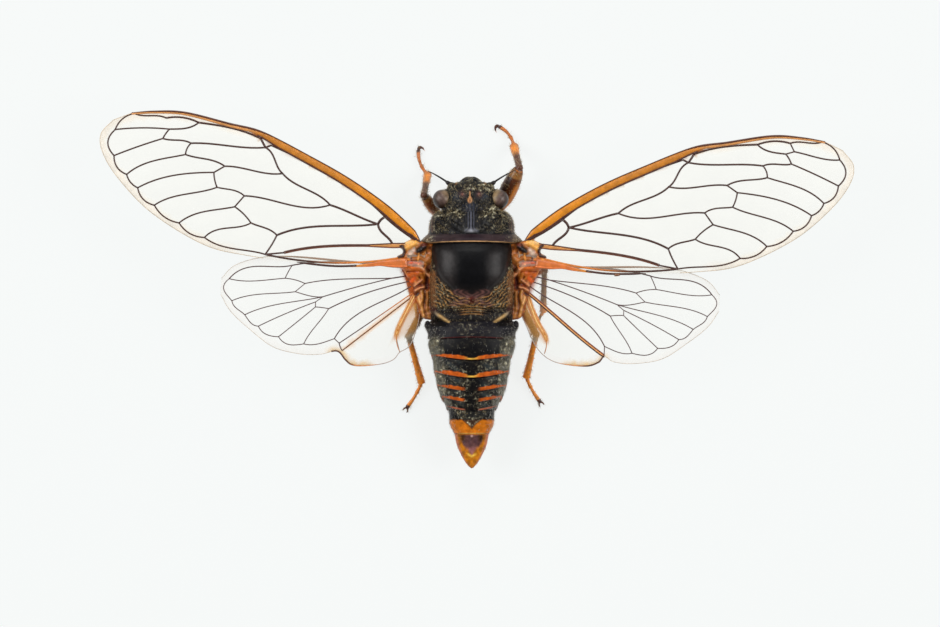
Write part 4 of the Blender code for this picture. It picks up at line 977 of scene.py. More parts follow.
# Each fold, knob or hollow there: its line, height, half width and colour
WING_BASE_FOLDS = (
    (((3.25, 2.92), (3.62, 2.64)), 0.30, 0.27, (22, 13, 13)),
    (((3.10, 3.10), (3.30, 3.02)), 0.05, 0.10, (96, 44, 32)),
    (((3.86, 3.20), (4.16, 3.02), (4.46, 2.86)), 0.20, 0.19, (224, 162, 78)),
    (((4.10, 3.28), (4.50, 3.16)), 0.10, 0.10, (236, 186, 112)),
    (((3.98, 2.70), (4.20, 2.44)), 0.02, 0.12, (206, 172, 152)),
    (((5.04, 3.00), (4.72, 2.94), (4.58, 2.62), (4.70, 2.28), (5.02, 2.22)), 0.16, 0.12, (54, 28, 24)),
    (((3.42, 2.12), (4.02, 2.04)), 0.18, 0.20, (150, 84, 26)),
    (((3.30, 2.40), (3.80, 2.30), (4.40, 2.26)), -0.10, 0.05, (84, 36, 16)),
    (((3.00, 1.80), (3.60, 1.92), (4.40, 1.88)), -0.10, 0.05, (96, 36, 16)),
    (((2.72, 1.20), (3.10, 1.56), (4.00, 1.62)), -0.12, 0.06, (104, 40, 18)),
    (((3.00, 1.10), (3.50, 1.24), (4.40, 1.22)), -0.10, 0.05, (122, 44, 18)),
    (((3.56, 0.84), (3.22, 0.40), (2.90, 0.30)), -0.12, 0.07, (88, 34, 18)),
    (((3.60, 2.42), (3.66, 1.96)), 0.06, 0.06, (214, 142, 66)),
    (((3.10, 1.66), (3.26, 1.30), (3.20, 0.96)), 0.10, 0.06, (208, 128, 54)),
    (((2.86, 2.22), (3.12, 1.92)), 0.20, 0.22, (170, 102, 42)),
    (((2.80, 1.55), (3.05, 1.40)), 0.08, 0.16, (112, 60, 34)),
    (((4.13, 2.20), (4.10, 1.84)), 0.02, 0.05, (72, 34, 22)),
    (((4.34, 2.02), (4.95, 1.98)), 0.12, 0.10, (206, 122, 44)),
    (((3.50, 1.74), (4.20, 1.80), (4.90, 1.72)), 0.14, 0.12, (208, 76, 28)),
    (((3.40, 1.40), (4.20, 1.46), (4.80, 1.52)), 0.16, 0.15, (222, 112, 34)),
    (((3.62, 1.68), (3.22, 1.32), (2.90, 0.90)), 0.18, 0.08, (232, 158, 108)),
    (((3.70, 1.08), (4.36, 0.96)), 0.10, 0.14, (214, 104, 36)),
    (((3.90, 0.78), (4.14, 0.56)), 0.06, 0.12, (224, 96, 34)),
    (((3.42, 1.02), (3.30, 0.62)), 0.14, 0.15, (186, 106, 32)),
    (((3.04, 0.76), (3.08, 0.12)), -0.18, 0.13, (84, 34, 22)),
    (((3.42, 0.64), (3.90, 0.26)), 0.14, 0.06, (216, 146, 100)),
    (((3.24, 0.16), (3.52, 0.12), (3.86, -0.06)), 0.14, 0.06, (216, 146, 100)),
    (((3.66, 0.24), (3.52, 0.32)), -0.10, 0.07, (150, 66, 34)),
    (((3.66, -0.26), (3.74, -0.36)), -0.12, 0.09, (70, 36, 22)),
    (((3.42, -0.12), (3.34, -0.42), (3.40, -0.80)), 0.12, 0.08, (186, 122, 48)),
    (((3.20, -0.10), (3.16, -0.50), (3.22, -0.95)), -0.08, 0.06, (92, 52, 26)),
    (((3.00, -0.16), (3.02, -0.60), (3.06, -1.05)), 0.12, 0.09, (160, 100, 42)),
    (((2.80, -0.30), (2.84, -1.10)), -0.10, 0.08, (78, 42, 26)),
    (((3.62, -0.52), (3.50, -0.98)), 0.10, 0.08, (224, 164, 96)),
    (((3.46, -1.02), (3.28, -1.85)), 0.10, 0.09, (200, 138, 70)),
    (((3.26, -1.10), (3.08, -1.80)), -0.06, 0.06, (132, 76, 38)),
    (((3.04, -1.20), (2.92, -1.90)), 0.08, 0.09, (172, 110, 50)),
)
WING_BASE_GRID = 0.055
WING_BASE_THICKNESS = 0.26


def build_wing_bases(looks):
    """The folded skin and hard pieces that carry the wings, on both sides."""
    outline = spline(WING_BASE_OUTLINE + WING_BASE_OUTLINE[:1], 4)[:-1]
    plan, triangles = filled(outline, [], grid_points(outline, [], WING_BASE_GRID, 0.03))
    x, y = plan.T
    height = 3.92 + 0.86 * step(y, 0.55, 2.10) + 0.32 * step(x, 3.0, 2.5) * step(y, 1.8, 0.6)
    height -= 0.10 * step(y, -0.9, -1.9)
    crumple = np.sin(9.0 * x + 2.0 * np.sin(4.0 * y)) * np.sin(8.0 * y - 3.0 * x)
    height += 0.05 * crumple
    coat = Coat(plan, (138, 70, 26))
    coat.lay((186, 104, 38), step(y, 0.3, 1.1))
    # Painted shade in the troughs of the crumpled skin, and painted highlight on its crests
    coat.lay((92, 38, 18), 0.7 * step(-crumple, 0.15, 0.75))
    coat.lay((226, 146, 66), 0.5 * step(crumple, 0.35, 0.85))
    for ends, rise, width, shade in WING_BASE_FOLDS:
        share = bell(distance_to_lines(plan, [np.array(ends)]), width)
        height = height + rise * share
        coat.lay(shade, np.clip(1.35 * share, 0, 1))
    height -= 0.12 * step(distance_to_lines(plan, [closed_line(outline)]), 0.12, 0.0)
    for side, name in ((-1, "wing_base_left"), (1, "wing_base_right")):
        top = np.column_stack((side * x, y, height))
        under = np.column_stack((side * x, y, height - WING_BASE_THICKNESS))
        base = make_object(name, *closed_sheet(top, under, triangles), looks["limb"])
        paint(base, np.vstack((coat.colours, coat.colours)))
        keep(base, "cuticle_amber")


# Abdomen

# The ovipositor's sheath, as X, Y, Z and radius
SHEATH = (
    (0.0, -8.70, 1.42, 0.16), (0.0, -9.60, 1.38, 0.18), (0.0, -10.60, 1.42, 0.17), (0.0, -11.60, 1.66, 0.13),
    (0.0, -12.05, 1.86, 0.06),
)


def ring_tuck(places):
    """How far the surface lies under each ring's rear edge: it starts deep, and flares to the edge behind."""
    edges = np.array([-2.1] + [end for end, _ in ABDOMEN_RINGS] + [TIP_REAR])
    tuck = np.zeros(len(places))
    for front, rear in zip(edges[:-1], edges[1:]):
        share = np.clip((front - places) / (front - rear), 0, 1)
        within = (places <= front) & (places > rear)
        depth = 0.10 if rear > TIP_REAR else 0.0
        tuck = np.where(within, depth * (1 - share) ** 2 + 0.10 * bell(front - places, 0.05), tuck)
    return tuck


def build_abdomen(looks):
    places = np.linspace(-2.12, -12.24, 460)
    rings = body_rings(ABDOMEN_SHAPE, places, 220, None, ring_tuck(places))
    smooth = spline(sorted(ABDOMEN_SHAPE), 8)

    def sag(across, y):
        """How far the rings are drawn forward at their sides."""
        rear = 0.40 * np.abs(across) ** 1.7 * band(y, -8.3, -4.3, 0.6)
        return rear - 0.16 * np.abs(across) ** 2 * band(y, -3.7, -2.7, 0.4)

    def share_across(x, y):
        return np.clip(x / np.maximum(np.interp(y, smooth[:, 0], smooth[:, 1]), 0.02), -1, 1)

    x, y, z = np.moveaxis(rings, 2, 0)
    rings[..., 1] = y + sag(share_across(x, y), y) * step(z, 2.6, 3.4)
    pieces = [closed_tube(rings)]
    pieces += [ellipsoid((side * 3.02, -2.42, 4.25), (0.20, 0.30, 0.34)) for side in (-1, 1)]
    abdomen = make_object("abdomen_rings", *joined(pieces), looks["plate"])
    spots = vertices(abdomen)
    x, y, z = spots.T
    across = share_across(x, y)
    y = y - sag(across, y) * step(z, 2.6, 3.4)
    side = np.abs(across)
    uneven = 0.02 * np.sin(13 * x + 1.3) + 0.008 * np.sin(31 * x)
    coat = Coat(spots, (7, 6, 9))
    coat.lay((20, 18, 26), 0.7 * step(y, -3.4, -2.9))
    # Painted shade in the hollows behind the metathorax's pale ridges
    shaded_hollow = hollow_share(x, spots[:, 1]) * step(z, 4.2, 4.5)
    coat.lay((3, 2, 3), shaded_hollow)
    frost = step(side + 2 * uneven, 0.62, 0.82) * step(y, -2.9, -3.4) * step(y, -8.4, -7.8)
    patchy = 0.75 + 0.25 * np.sin(5.0 * y + 6.0 * side)
    coat.lay((104, 102, 88), 0.75 * frost * patchy * (z > 2.8))
    blue_grey = band(side, 0.30, 0.62, 0.12) * band(y, -8.3, -4.9, 0.3) * (z > 2.8)
    coat.lay((58, 66, 66), 0.5 * blue_grey * (0.5 + 0.5 * np.sin(9.0 * y + 5.0 * x)))
    coat.lay((96, 44, 44), 0.8 * band(y, -3.27, -3.21, 0.02) * step(side, 0.8, 0.6))
    swelling = 0.30 + 0.70 * band(side, 0.14, 0.76, 0.16)
    for ring, (rear, reach) in enumerate(ABDOMEN_RINGS):
        if not reach:
            continue
        tall = reach
        if ring < TIP_RING:
            tall = reach * swelling + uneven * (reach > 0.1)
        share = band(y, rear + 0.02, rear + 0.02 + tall, 0.03)
        shade = Coat(y, (178, 96, 66) if ring == TIP_RING - 1 else (190, 86, 22))
        if ring < FIRST_PARTED_RING:
            shade.lay((222, 176, 72), bell(across, 0.13))
        elif ring < TIP_RING:
            share = share * step(side, 0.06 + 0.03 * ring, 0.22 + 0.03 * ring)
        coat.lay(shade, 0.95 * share)
    coat.lay((200, 112, 20), 0.92 * band(y + uneven, -9.80, -8.92, 0.10))
    wedge = step(-0.05 + 1.05 * (y + 9.55) - np.abs(x) + uneven, -0.12, 0.12) * band(y, -9.55, -8.30, 0.05)
    coat.lay((30, 30, 28), 0.92 * wedge * (z > 2.6))
    coat.lay((226, 170, 76), 0.8 * band(y, -9.86, -9.80, 0.02) * step(side, 0.9, 0.6))
    last = step(y, -9.87, -9.91)
    coat.lay((200, 120, 20), 0.95 * last)
    stains = step(np.sin(7.0 * x + 4.0 * y) * np.sin(9.0 * x - 5.0 * y + 0.8), 0.0, 0.7)
    coat.lay((128, 78, 24), 0.55 * last * stains)
    coat.lay((180, 104, 84), 0.7 * last * band(side, 0.84, 1.1, 0.08))
    patch_edge = np.interp(y, (-11.30, -10.85, -10.40, -9.93), (0.02, 0.36, 0.78, 0.90))
    patch = step(patch_edge - np.abs(x) + 2 * uneven, -0.16, 0.16) * band(y, -11.34, -9.93, 0.06)
    dusk = Coat(y, (74, 52, 62)).lay((168, 110, 112), step(y, -10.6, -11.15))
    dusk.lay((16, 10, 12), step(np.abs(x), 0.30, 0.62) * step(y, -10.55, -10.2))
    coat.lay(dusk, 0.92 * patch)
    coat.lay((232, 186, 176), 0.8 * bell(x, 0.07) * bell(y + 10.02, 0.07))
    chevron = bell(y + 11.42 - 0.55 * np.abs(x), 0.09) * step(np.abs(x), 0.42, 0.15)
    coat.lay((240, 200, 84), 0.75 * chevron)
    under = step(z, 2.9, 2.3)
    coat.lay((176, 98, 40), 0.8 * under * (1 - 0.6 * bell(x, 0.5)))
    paint(abdomen, coat.colours)
    grade(abdomen, 0.36 + 0.15 * frost + 0.12 * step(y, -4.4, -3.6))
    banded = step(coat.colours[:, 0], 0.10, 0.30)
    down = 0.05 + 0.30 * band(side, 0.10, 0.62, 0.1) * band(y, -8.4, -4.8, 0.1) + 0.75 * frost + 0.8 * wedge
    down += 0.16 * bell(side, 0.30) * band(y, -3.1, -2.3, 0.1)
    grade(abdomen, down * (1 - banded) * (1 - shaded_hollow) * (z > 2.6), "dust")
    keep(abdomen, "cuticle_black", "abdomen", "abdomen_tip")

    needle = make_object("ovipositor_sheath", *limb(SHEATH, 28, 12), looks["limb"])
    y = vertices(needle)[:, 1]
    paint(needle, Coat(y, (120, 66, 32)).lay((36, 22, 18), step(y, -10.4, -11.6)).colours)
    keep(needle, "cuticle_amber", "ovipositor")
    return abdomen


# Legs

# Half thickness of thigh, shin and foot
LEG_SIZES = {
    "foreleg_right": (0.60, 0.25, 0.13),
    "foreleg_left": (0.40, 0.23, 0.13),
    "midleg": (0.27, 0.20, 0.12),
    "hindleg": (0.27, 0.215, 0.135),
}
KNEE_SIZE = 0.23
# Nothing of the insect goes lower than this over the floor
FLOOR_CLEARANCE = 0.004
# How far the fore feet bow outwards
FOOT_BOW = 0.20


def spine_piece(root, way, length, radius):
    tip = np.array(root) + length * unit(np.array(way, float))
    middle = (np.array(root) + tip) / 2
    return limb(((*root, radius), (*middle, radius * 0.7), (*tip, radius * 0.1)), 8, 3)


def leg_pieces(name, places):
    """Closed shapes that make up a leg, and its joints from hip to toe."""
    side = 1 if name.endswith("right") else -1
    kind = name.split("_")[0]
    thigh, shin, foot = LEG_SIZES[name if kind == "foreleg" else kind]
    joints = [np.array((side * x, y, z)) for x, y, z in (HIPS[kind], *places)]
    hip, trochanter, knee, ankle, toe = joints
    pieces = [limb(((*hip, 0.42), (*(0.5 * (hip + trochanter)), 0.40), (*trochanter, 0.27)), 24, 8)]
    stations = [(*trochanter, 0.24), (*(0.55 * trochanter + 0.45 * knee), thigh), (*knee, KNEE_SIZE)]
    if kind == "foreleg":
        stations = [(*trochanter, 0.28)]
        for share, part in ((0.25, 0.90), (0.50, 1.0), (0.75, 0.88), (0.92, 0.66)):
            stations.append((*(trochanter + share * (knee - trochanter)), thigh * part))
        stations.append((*knee, KNEE_SIZE))
    pieces.append(limb(stations, 28, 8))
    pieces.append(ellipsoid(knee, [KNEE_SIZE * 1.12] * 3, 16, 20))
    bend = 0.5 * (knee + ankle) + (0, 0, 0.08)
    pieces.append(limb(((*knee, shin * 0.95), (*bend, shin * 0.95), (*ankle, shin * 1.25)), 20, 12))
    forward = unit((toe - ankle) * (1, 1, 0))
    inward = side * np.array((-forward[1], forward[0], 0.0))
    bow = FOOT_BOW if kind == "foreleg" else 0.35 * FOOT_BOW

    def along_foot(share):
        return ankle + share * (toe - ankle) - 4 * bow * share * (1 - share) * inward

    cuts = (0.0, 0.16, 0.42, 1.0)
    for start, end in zip(cuts[:-1], cuts[1:]):
        rows = []
        for share, part in ((0.0, 0.75), (0.3, 0.85), (0.6, 0.95), (1.0, 1.12)):
            rows.append((*along_foot(start + share * (end - start)), foot * part))
        pieces.append(limb(rows, 18, 6))
    for claw in (-1, 1):
        if kind == "foreleg":
            steps = ((0.10, 0.06, 0.02), (0.13, 0.22, 0.02), (-0.02, 0.36, 0.0), (-0.22, 0.40, -0.02))
            turned = [(ahead + 0.06 * claw * (1 - ahead), across, up) for ahead, across, up in steps]
        else:
            turned = ((0.12, 0.08 * claw, 0.02), (0.26, 0.16 * claw, 0.02), (0.38, 0.14 * claw, -0.04))
        rows = [(*(toe - 0.02 * forward), 0.085)]
        for (ahead, across, up), radius in zip(turned, (0.075, 0.055, 0.035, 0.012)):
            rows.append((*(toe + ahead * forward + across * inward + (0, 0, up)), radius))
        pieces.append(limb(rows, 10, 5))
    if kind == "hindleg":
        for share, spread in ((0.38, 1), (0.50, -1), (0.62, 1), (0.76, -1), (0.90, 1)):
            root = knee + share * (ankle - knee) + (0, 0, 0.06)
            pieces.append(spine_piece(root, (-side * spread, -0.75, -0.1), 0.42, 0.05))
    if kind == "foreleg":
        for share in (0.42, 0.62, 0.80):
            root = trochanter + share * (knee - trochanter) - (0, 0, thigh * 0.7)
            pieces.append(spine_piece(root, (-side * 0.5, 0.5, -1), 0.34, 0.09))
    return pieces, joints


def share_along(places, start, end):
    """0 at the start of a line, 1 at its end, less or more beyond them."""
    run = end - start
    return (places - start) @ run / (run @ run)


def leg_colours(places, joints, kind):
    """Amber, with dark knees, dark shin roots and feet, and a dark streak on the fore thigh."""
    hip, trochanter, knee, ankle, toe = joints
    coat = Coat(places, (226, 136, 42))
    along_thigh = np.clip(share_along(places, trochanter, knee), -1, 2)
    near_knee = np.linalg.norm(places - knee, axis=1)
    on_shin = distance_to_lines(places, [np.array((knee, ankle))]) < 0.34
    share = np.clip(share_along(places, knee, ankle), 0, 1)
    if kind == "foreleg":
        outward = unit(np.cross(knee - trochanter, (0, 0, 1))) * np.sign(trochanter[0])
        beside = (places - trochanter) @ outward
        on_thigh = distance_to_lines(places, [np.array((trochanter, knee))]) < 0.72
        on_thigh = on_thigh * band(along_thigh, 0.0, 0.96, 0.04)
        glow = step(beside, 0.16, 0.40) * step(along_thigh, 0.85, 0.55)
        shade, streak = ((60, 24, 12), 0.8) if trochanter[0] > 0 else ((112, 54, 22), 0.3)
        coat.lay(shade, 0.96 * on_thigh * (1 - 0.6 * glow))
        coat.lay((30, 16, 13), streak * on_thigh * band(beside, -0.50, -0.12, 0.08))
        coat.lay((146, 100, 48), 0.85 * band(along_thigh, 0.80, 0.92, 0.03) * ~on_shin)
        coat.lay((54, 32, 32), 0.92 * on_shin * step(share, 0.70, 0.40))
        coat.lay((176, 100, 50), 0.9 * step(share, 0.8, 1.0))
    else:
        coat.lay((86, 72, 52), 0.9 * step(near_knee, 0.9, 0.3))
        coat.lay((92, 72, 48), 0.85 * band(along_thigh, -0.5, 0.9, 0.1) * ~on_shin)
    if kind == "midleg":
        coat.lay((104, 72, 48), 0.85 * on_shin * step(share, 1.0, 0.6))
    coat.lay((58, 34, 34), 0.9 * step(np.linalg.norm(places - toe, axis=1), 0.20, 0.10))
    claws = (places - toe) @ unit((toe - ankle) * (1, 1, 0)) > -0.12
    coat.lay((52, 32, 34), 0.9 * claws * (np.linalg.norm(places - toe, axis=1) < 0.7))
    return coat.colours


def build_legs(looks):
    made = {}
    for name, places in LEGS.items():
        pieces, joints = leg_pieces(name, places)
        leg = fused(name + "_skin", pieces, 0.035, 1, looks["limb"])
        spots = vertices(leg)
        for index in np.nonzero(spots[:, 2] < FLOOR_CLEARANCE)[0]:
            leg.data.vertices[int(index)].co.z = FLOOR_CLEARANCE * MM
        paint(leg, leg_colours(spots, joints, name.split("_")[0]))
        keep(leg, "cuticle_amber", name)
        made[name] = (leg, joints)
    return made


# Wings

def wing_height(x, y, lower):
    rise = WING_RISE * (np.abs(x) - THORAX_SIDE)
    droop = WING_DROOP * np.maximum(0.0, DROOP_START - y) ** 2
    return WING_ROOT_HEIGHT + rise - droop - lower


def vein_line(joints, vein):
    """Points along a vein, which bows and sways from the straight way between two joints."""
    first, last = np.array(joints[vein[0]]), np.array(joints[vein[1]])
    run = last - first
    length = np.linalg.norm(run)
    across = np.array((-run[1], run[0])) / length
    t = np.linspace(0, 1, max(2, round(length / VEIN_SPACING)) + 1)
    rise = 4 * vein[2] * t * (1 - t) + SWAY_PEAK * vein[3] * t * (1 - t) * (1 - 2 * t)
    return first + np.outer(t, run) + np.outer(rise, across)


def inside_outline(points, outline):
    ends = np.roll(outline, -1, axis=0)
    x, y = points[:, :1], points[:, 1:]
    spans = (outline[:, 1] > y) != (ends[:, 1] > y)
    rise = np.where(ends[:, 1] == outline[:, 1], 1.0, ends[:, 1] - outline[:, 1])
    crossing = outline[:, 0] + (y - outline[:, 1]) * (ends[:, 0] - outline[:, 0]) / rise
    return (spans & (x < crossing)).sum(axis=1) % 2 == 1


def offset(line, by):
    """A line moved sideways, to the left of its way."""
    run = unit(np.gradient(line, axis=0))
    return line + np.column_stack((-run[:, 1], run[:, 0])) * np.broadcast_to(by, len(line))[:, None]


class Wing:
    """One wing: its outline and veins in its own plane, and the way from there to the model."""

    def __init__(self, name):
        self.name = name
        self.fore = name.startswith("fore")
        self.side = 1 if name.endswith("right") else -1
        self.hinge_x, self.hinge_y, forward = WINGS[name]
        self.turn = math.radians(forward)
        side_name = name.split("_")[1]
        if self.fore:
            leading, trailing = FOREWING_LEADING_EDGE, FOREWING_TRAILING_EDGE
            self.joints = FOREWING_JOINTS
            self.veins = FOREWING_VEINS + FOREWING_ONE_SIDE[side_name]
        else:
            leading, trailing = HINDWING_LEADING_EDGE, HINDWING_TRAILING_EDGE + LOBE_EDGE[side_name]
            self.joints = {**HINDWING_JOINTS, **LOBE_JOINTS[side_name]}
            self.veins = HINDWING_VEINS + LOBE_VEINS[side_name]
            self.crease = LOBE_CREASE[side_name]
        self.front_edge = spline(leading, 8)
        self.rear_edge = spline(trailing, 8)
        self.outline = np.vstack((self.front_edge, self.rear_edge))
        self.lines = [vein_line(self.joints, vein) for vein in self.veins]

    def place(self, plan, lift=0.0):
        """Points of the wing's plane put in the model, at the wing's own height plus a lift."""
        x, y = plan[:, 0], plan[:, 1]
        out = self.hinge_x + x * math.cos(self.turn) - y * math.sin(self.turn)
        ahead = self.hinge_y + x * math.sin(self.turn) + y * math.cos(self.turn)
        height = wing_height(out, ahead, 0.0 if self.fore else HINDWING_STEP)
        return np.column_stack((self.side * out, ahead, height + lift))

    def swell(self, plan):
        """The membrane's slight bulge between the veins."""
        return 0.10 * step(distance_to_lines(plan, self.lines), 0.0, 0.9)

    def ribbon(self, line, half_width, half_height):
        """A closed tube along a line of the wing's plane, wider than high."""
        middle = self.place(line)[:, 2] + self.swell(line)
        rings = []
        for angle in 2 * np.pi * np.arange(VEIN_SIDES) / VEIN_SIDES:
            points = self.place(offset(line, half_width * math.cos(angle)))
            points[:, 2] = middle + half_height * math.sin(angle)
            rings.append(points)
        return closed_tube(np.stack(rings, axis=1))


def grid_points(outline, lines, spacing, clear):
    """Points of an even triangle grid inside an outline, clear of it and of the lines."""
    low, high = outline.min(axis=0), outline.max(axis=0)
    spots = []
    for row, y in enumerate(np.arange(low[1], high[1], spacing * 0.866)):
        xs = np.arange(low[0] + (row % 2) * spacing / 2, high[0], spacing)
        spots.append(np.column_stack((xs, np.full(len(xs), y))))
    spots = np.vstack(spots)
    spots = spots[inside_outline(spots, outline)]
    return spots[distance_to_lines(spots, lines + [closed_line(outline)]) > clear]


def filled(outline, lines, spots):
    """Points and triangles that fill an outline, with edges along the lines."""
    points = list(outline) + list(spots)
    chains = []
    for line in lines:
        chains += [(len(points) + at, len(points) + at + 1) for at in range(len(line) - 1)]
        points += list(line)
    border = list(range(len(outline)))
    plan, _, triangles, *_ = delaunay_2d_cdt([Vector(point) for point in points], chains, [border], 1, 0.0001)
    return np.array([tuple(point) for point in plan]), triangles


def closed_sheet(top, under, triangles):
    """Points and faces of a thin closed sheet between an upper and an under side."""
    count = len(top)
    faces = [tuple(triangle) for triangle in triangles]
    faces += [tuple(count + corner for corner in reversed(triangle)) for triangle in triangles]
    rim = {}
    for a, b, c in triangles:
        for edge in ((a, b), (b, c), (c, a)):
            if rim.pop(edge[::-1], None) is None:
                rim[edge] = edge
    faces += [(b, a, count + a, count + b) for a, b in rim]
    return np.vstack((top, under)), faces


# The part of a wing that has the finer grid, by whether it is a forewing: out to an X, and behind a Y
FINE_PART = {True: (2.4, 100.0), False: (4.6, -0.6)}


def build_membrane(wing, looks):
    reach, front = FINE_PART[wing.fore]
    spots = grid_points(wing.outline, wing.lines, MEMBRANE_GRID, 0.12)
    coarse = (spots[:, 0] > reach) | (spots[:, 1] > front)
    fine = grid_points(wing.outline, wing.lines, ROOT_GRID, 0.06)
    near = (fine[:, 0] < reach) & (fine[:, 1] < front)
    plan, triangles = filled(wing.outline, wing.lines, np.vstack((spots[coarse], fine[near])))
    bulge = wing.swell(plan)
    half = MEMBRANE_THICKNESS / 2
    stacked = closed_sheet(wing.place(plan, bulge + half), wing.place(plan, bulge - half), triangles)
    film = make_object(wing.name + "_membrane", *stacked, looks["film"])
    x, y = plan.T
    coat = Coat(plan, (242, 236, 214))
    opacity = np.full(len(plan), 0.09 if wing.fore else 0.05)
    edge = distance_to_lines(plan, [closed_line(wing.outline)])
    tints = []
    if wing.fore:
        costal = step(distance_to_lines(plan, [wing.front_edge]), 0.56, 0.40) * step(x, 13.6, 12.9)
        tints.append((step(edge, 0.60, 0.35) * step(x, 11.0, 13.0), (240, 226, 204), 0.34))
        tints.append((costal, (170, 100, 34), 0.85))
    else:
        crease = distance_to_lines(plan, [spline(wing.crease, 4)])
        if wing.side < 0:
            brown = np.array((wing.joints["brown_root"], wing.joints["fold_end"]))
            tints.append((step(distance_to_lines(plan, [brown]), 0.26, 0.06), (236, 180, 112), 0.32))
        past = step(y + 1.42 + 0.95 * (x - 0.66), 0.10, -0.10)
        root = step(y, -2.9, -1.7)
        tints.append((step(edge, 0.5, 0.25) * step(x, 3.0, 5.0), (236, 224, 208), 0.12))
        tints.append((past * (0.35 + 0.65 * root) * step(y, -4.2, -3.4), (206, 152, 84), 0.70))
        tints.append((past * step(edge, 0.34, 0.05) * step(y, -3.3, -2.4), (146, 88, 46), 0.70))
        tints.append((step(crease, 0.26, 0.10) * step(y, -4.0, -3.3), (214, 148, 74), 0.80))
        tints.append((step(x, 1.0, 0.3) * step(y, -2.2, -1.4), (190, 94, 40), 0.85))
        border = step(edge, 0.40, 0.08) * band(x, 4.9, 7.3, 0.4) * step(y, -2.6, -3.0)
        tints.append((border, (230, 190, 116), 0.6))
    for share, shade, dense in tints:
        coat.lay(shade, step(share, 0.0, 0.35))
        opacity = opacity + (dense - opacity) * share * (dense > opacity)
    paint(film, np.vstack((coat.colours, coat.colours)), np.concatenate((opacity, opacity)))
    keep(film, "wing_membrane", wing.name)


class Ribbons:
    """Ribbons of one wing gathered with their colours, to become one object."""

    def __init__(self, wing):
        self.wing = wing
        self.pieces = []
        self.colours = []

    def add(self, line, half_width, shade, thickness=0.62):
        """A ribbon in one colour or in a coat of colours along it."""
        half_width = np.broadcast_to(half_width, len(line))
        height = np.minimum(half_width * thickness, VEIN_HEIGHT)
        self.pieces.append(self.wing.ribbon(line, half_width, height))
        coat = shade if isinstance(shade, Coat) else Coat(line, shade)
        shades = np.repeat(coat.colours, VEIN_SIDES, axis=0)
        self.colours.append(np.vstack((shades, shades[:1], shades[-1:])))


def forewing_edges(made, wing, dark):
    """Adds the edges and folds of a forewing. Gives the front edge, its half width and its colours."""
    edge = spline(FOREWING_COSTA_ROOT + FOREWING_LEADING_EDGE[4:], 8)
    along = edge[:, 0]
    stations = (0.1, 0.5, 1.0, 1.9, 3.2, 11.2, 13.2, 21.5)
    half = np.interp(along, stations, (0.05, 0.16, 0.25, 0.30, 0.29, 0.25, 0.13, 0.07))
    border = np.interp(along, (0.1, 11.5, 13.2, 19.0, 21.5), (0.04, 0.04, 0.08, 0.07, 0.03))
    made.add(edge, border, (84, 42, 22), 1.4)
    made.add(offset(edge, -2 * half)[along < 13.0], 0.075, (78, 38, 22), 1.4)
    if wing.side > 0:
        made.add(np.array(MARGIN_KNOB), 0.10, (110, 66, 36), 1.0)
    costa = Coat(edge, (208, 128, 12)).lay((186, 116, 34), step(along, 2.0, 9.0))
    costa.lay((200, 138, 78), step(along, 12.6, 13.6))
    strip = spline(FOLD_STRIP, 6)
    far = step(strip[:, 0], 2.6, 3.6)
    for by, width, shade in FOLD_STREAKS:
        red = Coat(strip, shade).lay((196, 122, 44), far)
        streak = offset(strip[:, :2], by * strip[:, 2])
        made.add(streak, width * strip[:, 2], red, 0.30 if width == 1 else 0.8)
    rear = wing.rear_edge
    margin = rear[(rear[:, 0] < 7.9) & (rear[:, 0] > 3.6) & (rear[:, 1] < 0)]
    made.add(offset(margin, -0.04), 0.065 * step(margin[:, 0], 8.0, 6.8) + 0.01, dark)
    outer = np.vstack((edge[edge[:, 0] > 20.5], rear[(rear[:, 0] > 9.8) & (rear[:, 1] < 2)]))
    made.add(offset(outer, -0.03), 0.022, (206, 186, 160))
    return edge, half, costa


def hindwing_edges(made, wing):
    """Adds the edges and the crease of a hindwing, and gives the same for its front edge."""
    edge = wing.front_edge[wing.front_edge[:, 0] > 0.0]
    half = np.interp(edge[:, 0], (0.0, 6.0, 9.0, 12.5), (0.09, 0.07, 0.03, 0.02))
    costa = Coat(edge, (128, 84, 58)).lay((206, 196, 184), step(edge[:, 0], 7.5, 9.0))
    rear = wing.rear_edge
    notch = np.argmax(rear[:, 0] < 7.2)
    lobe = rear[notch:]
    along = lobe[:, 0]
    shade = Coat(lobe, (168, 150, 140)).lay((198, 132, 84), step(along, 4.3, 4.9))
    shade.lay((84, 48, 30), step(along, 5.8, 6.4))
    made.add(offset(lobe, -0.03), 0.028 + 0.032 * step(along, 4.3, 6.4), shade)
    made.add(offset(rear[:notch], -0.03), 0.02, (206, 192, 176))
    crease = spline(wing.crease, 6)
    taper = np.interp(np.linspace(0, 1, len(crease)), (0.0, 0.6, 0.7, 1.0), (1.0, 0.5, 0.1, 0.1))
    strands = ((0.14, 0.055, (212, 146, 76)), (0.0, 0.06, (232, 184, 112)), (-0.15, 0.05, (178, 108, 52)))
    for by, width, shade in strands:
        made.add(offset(crease, by * taper), width * taper, shade)
    made.add(crease[2 * len(crease) // 3 :], 0.025, (150, 120, 100))
    return edge, half, costa


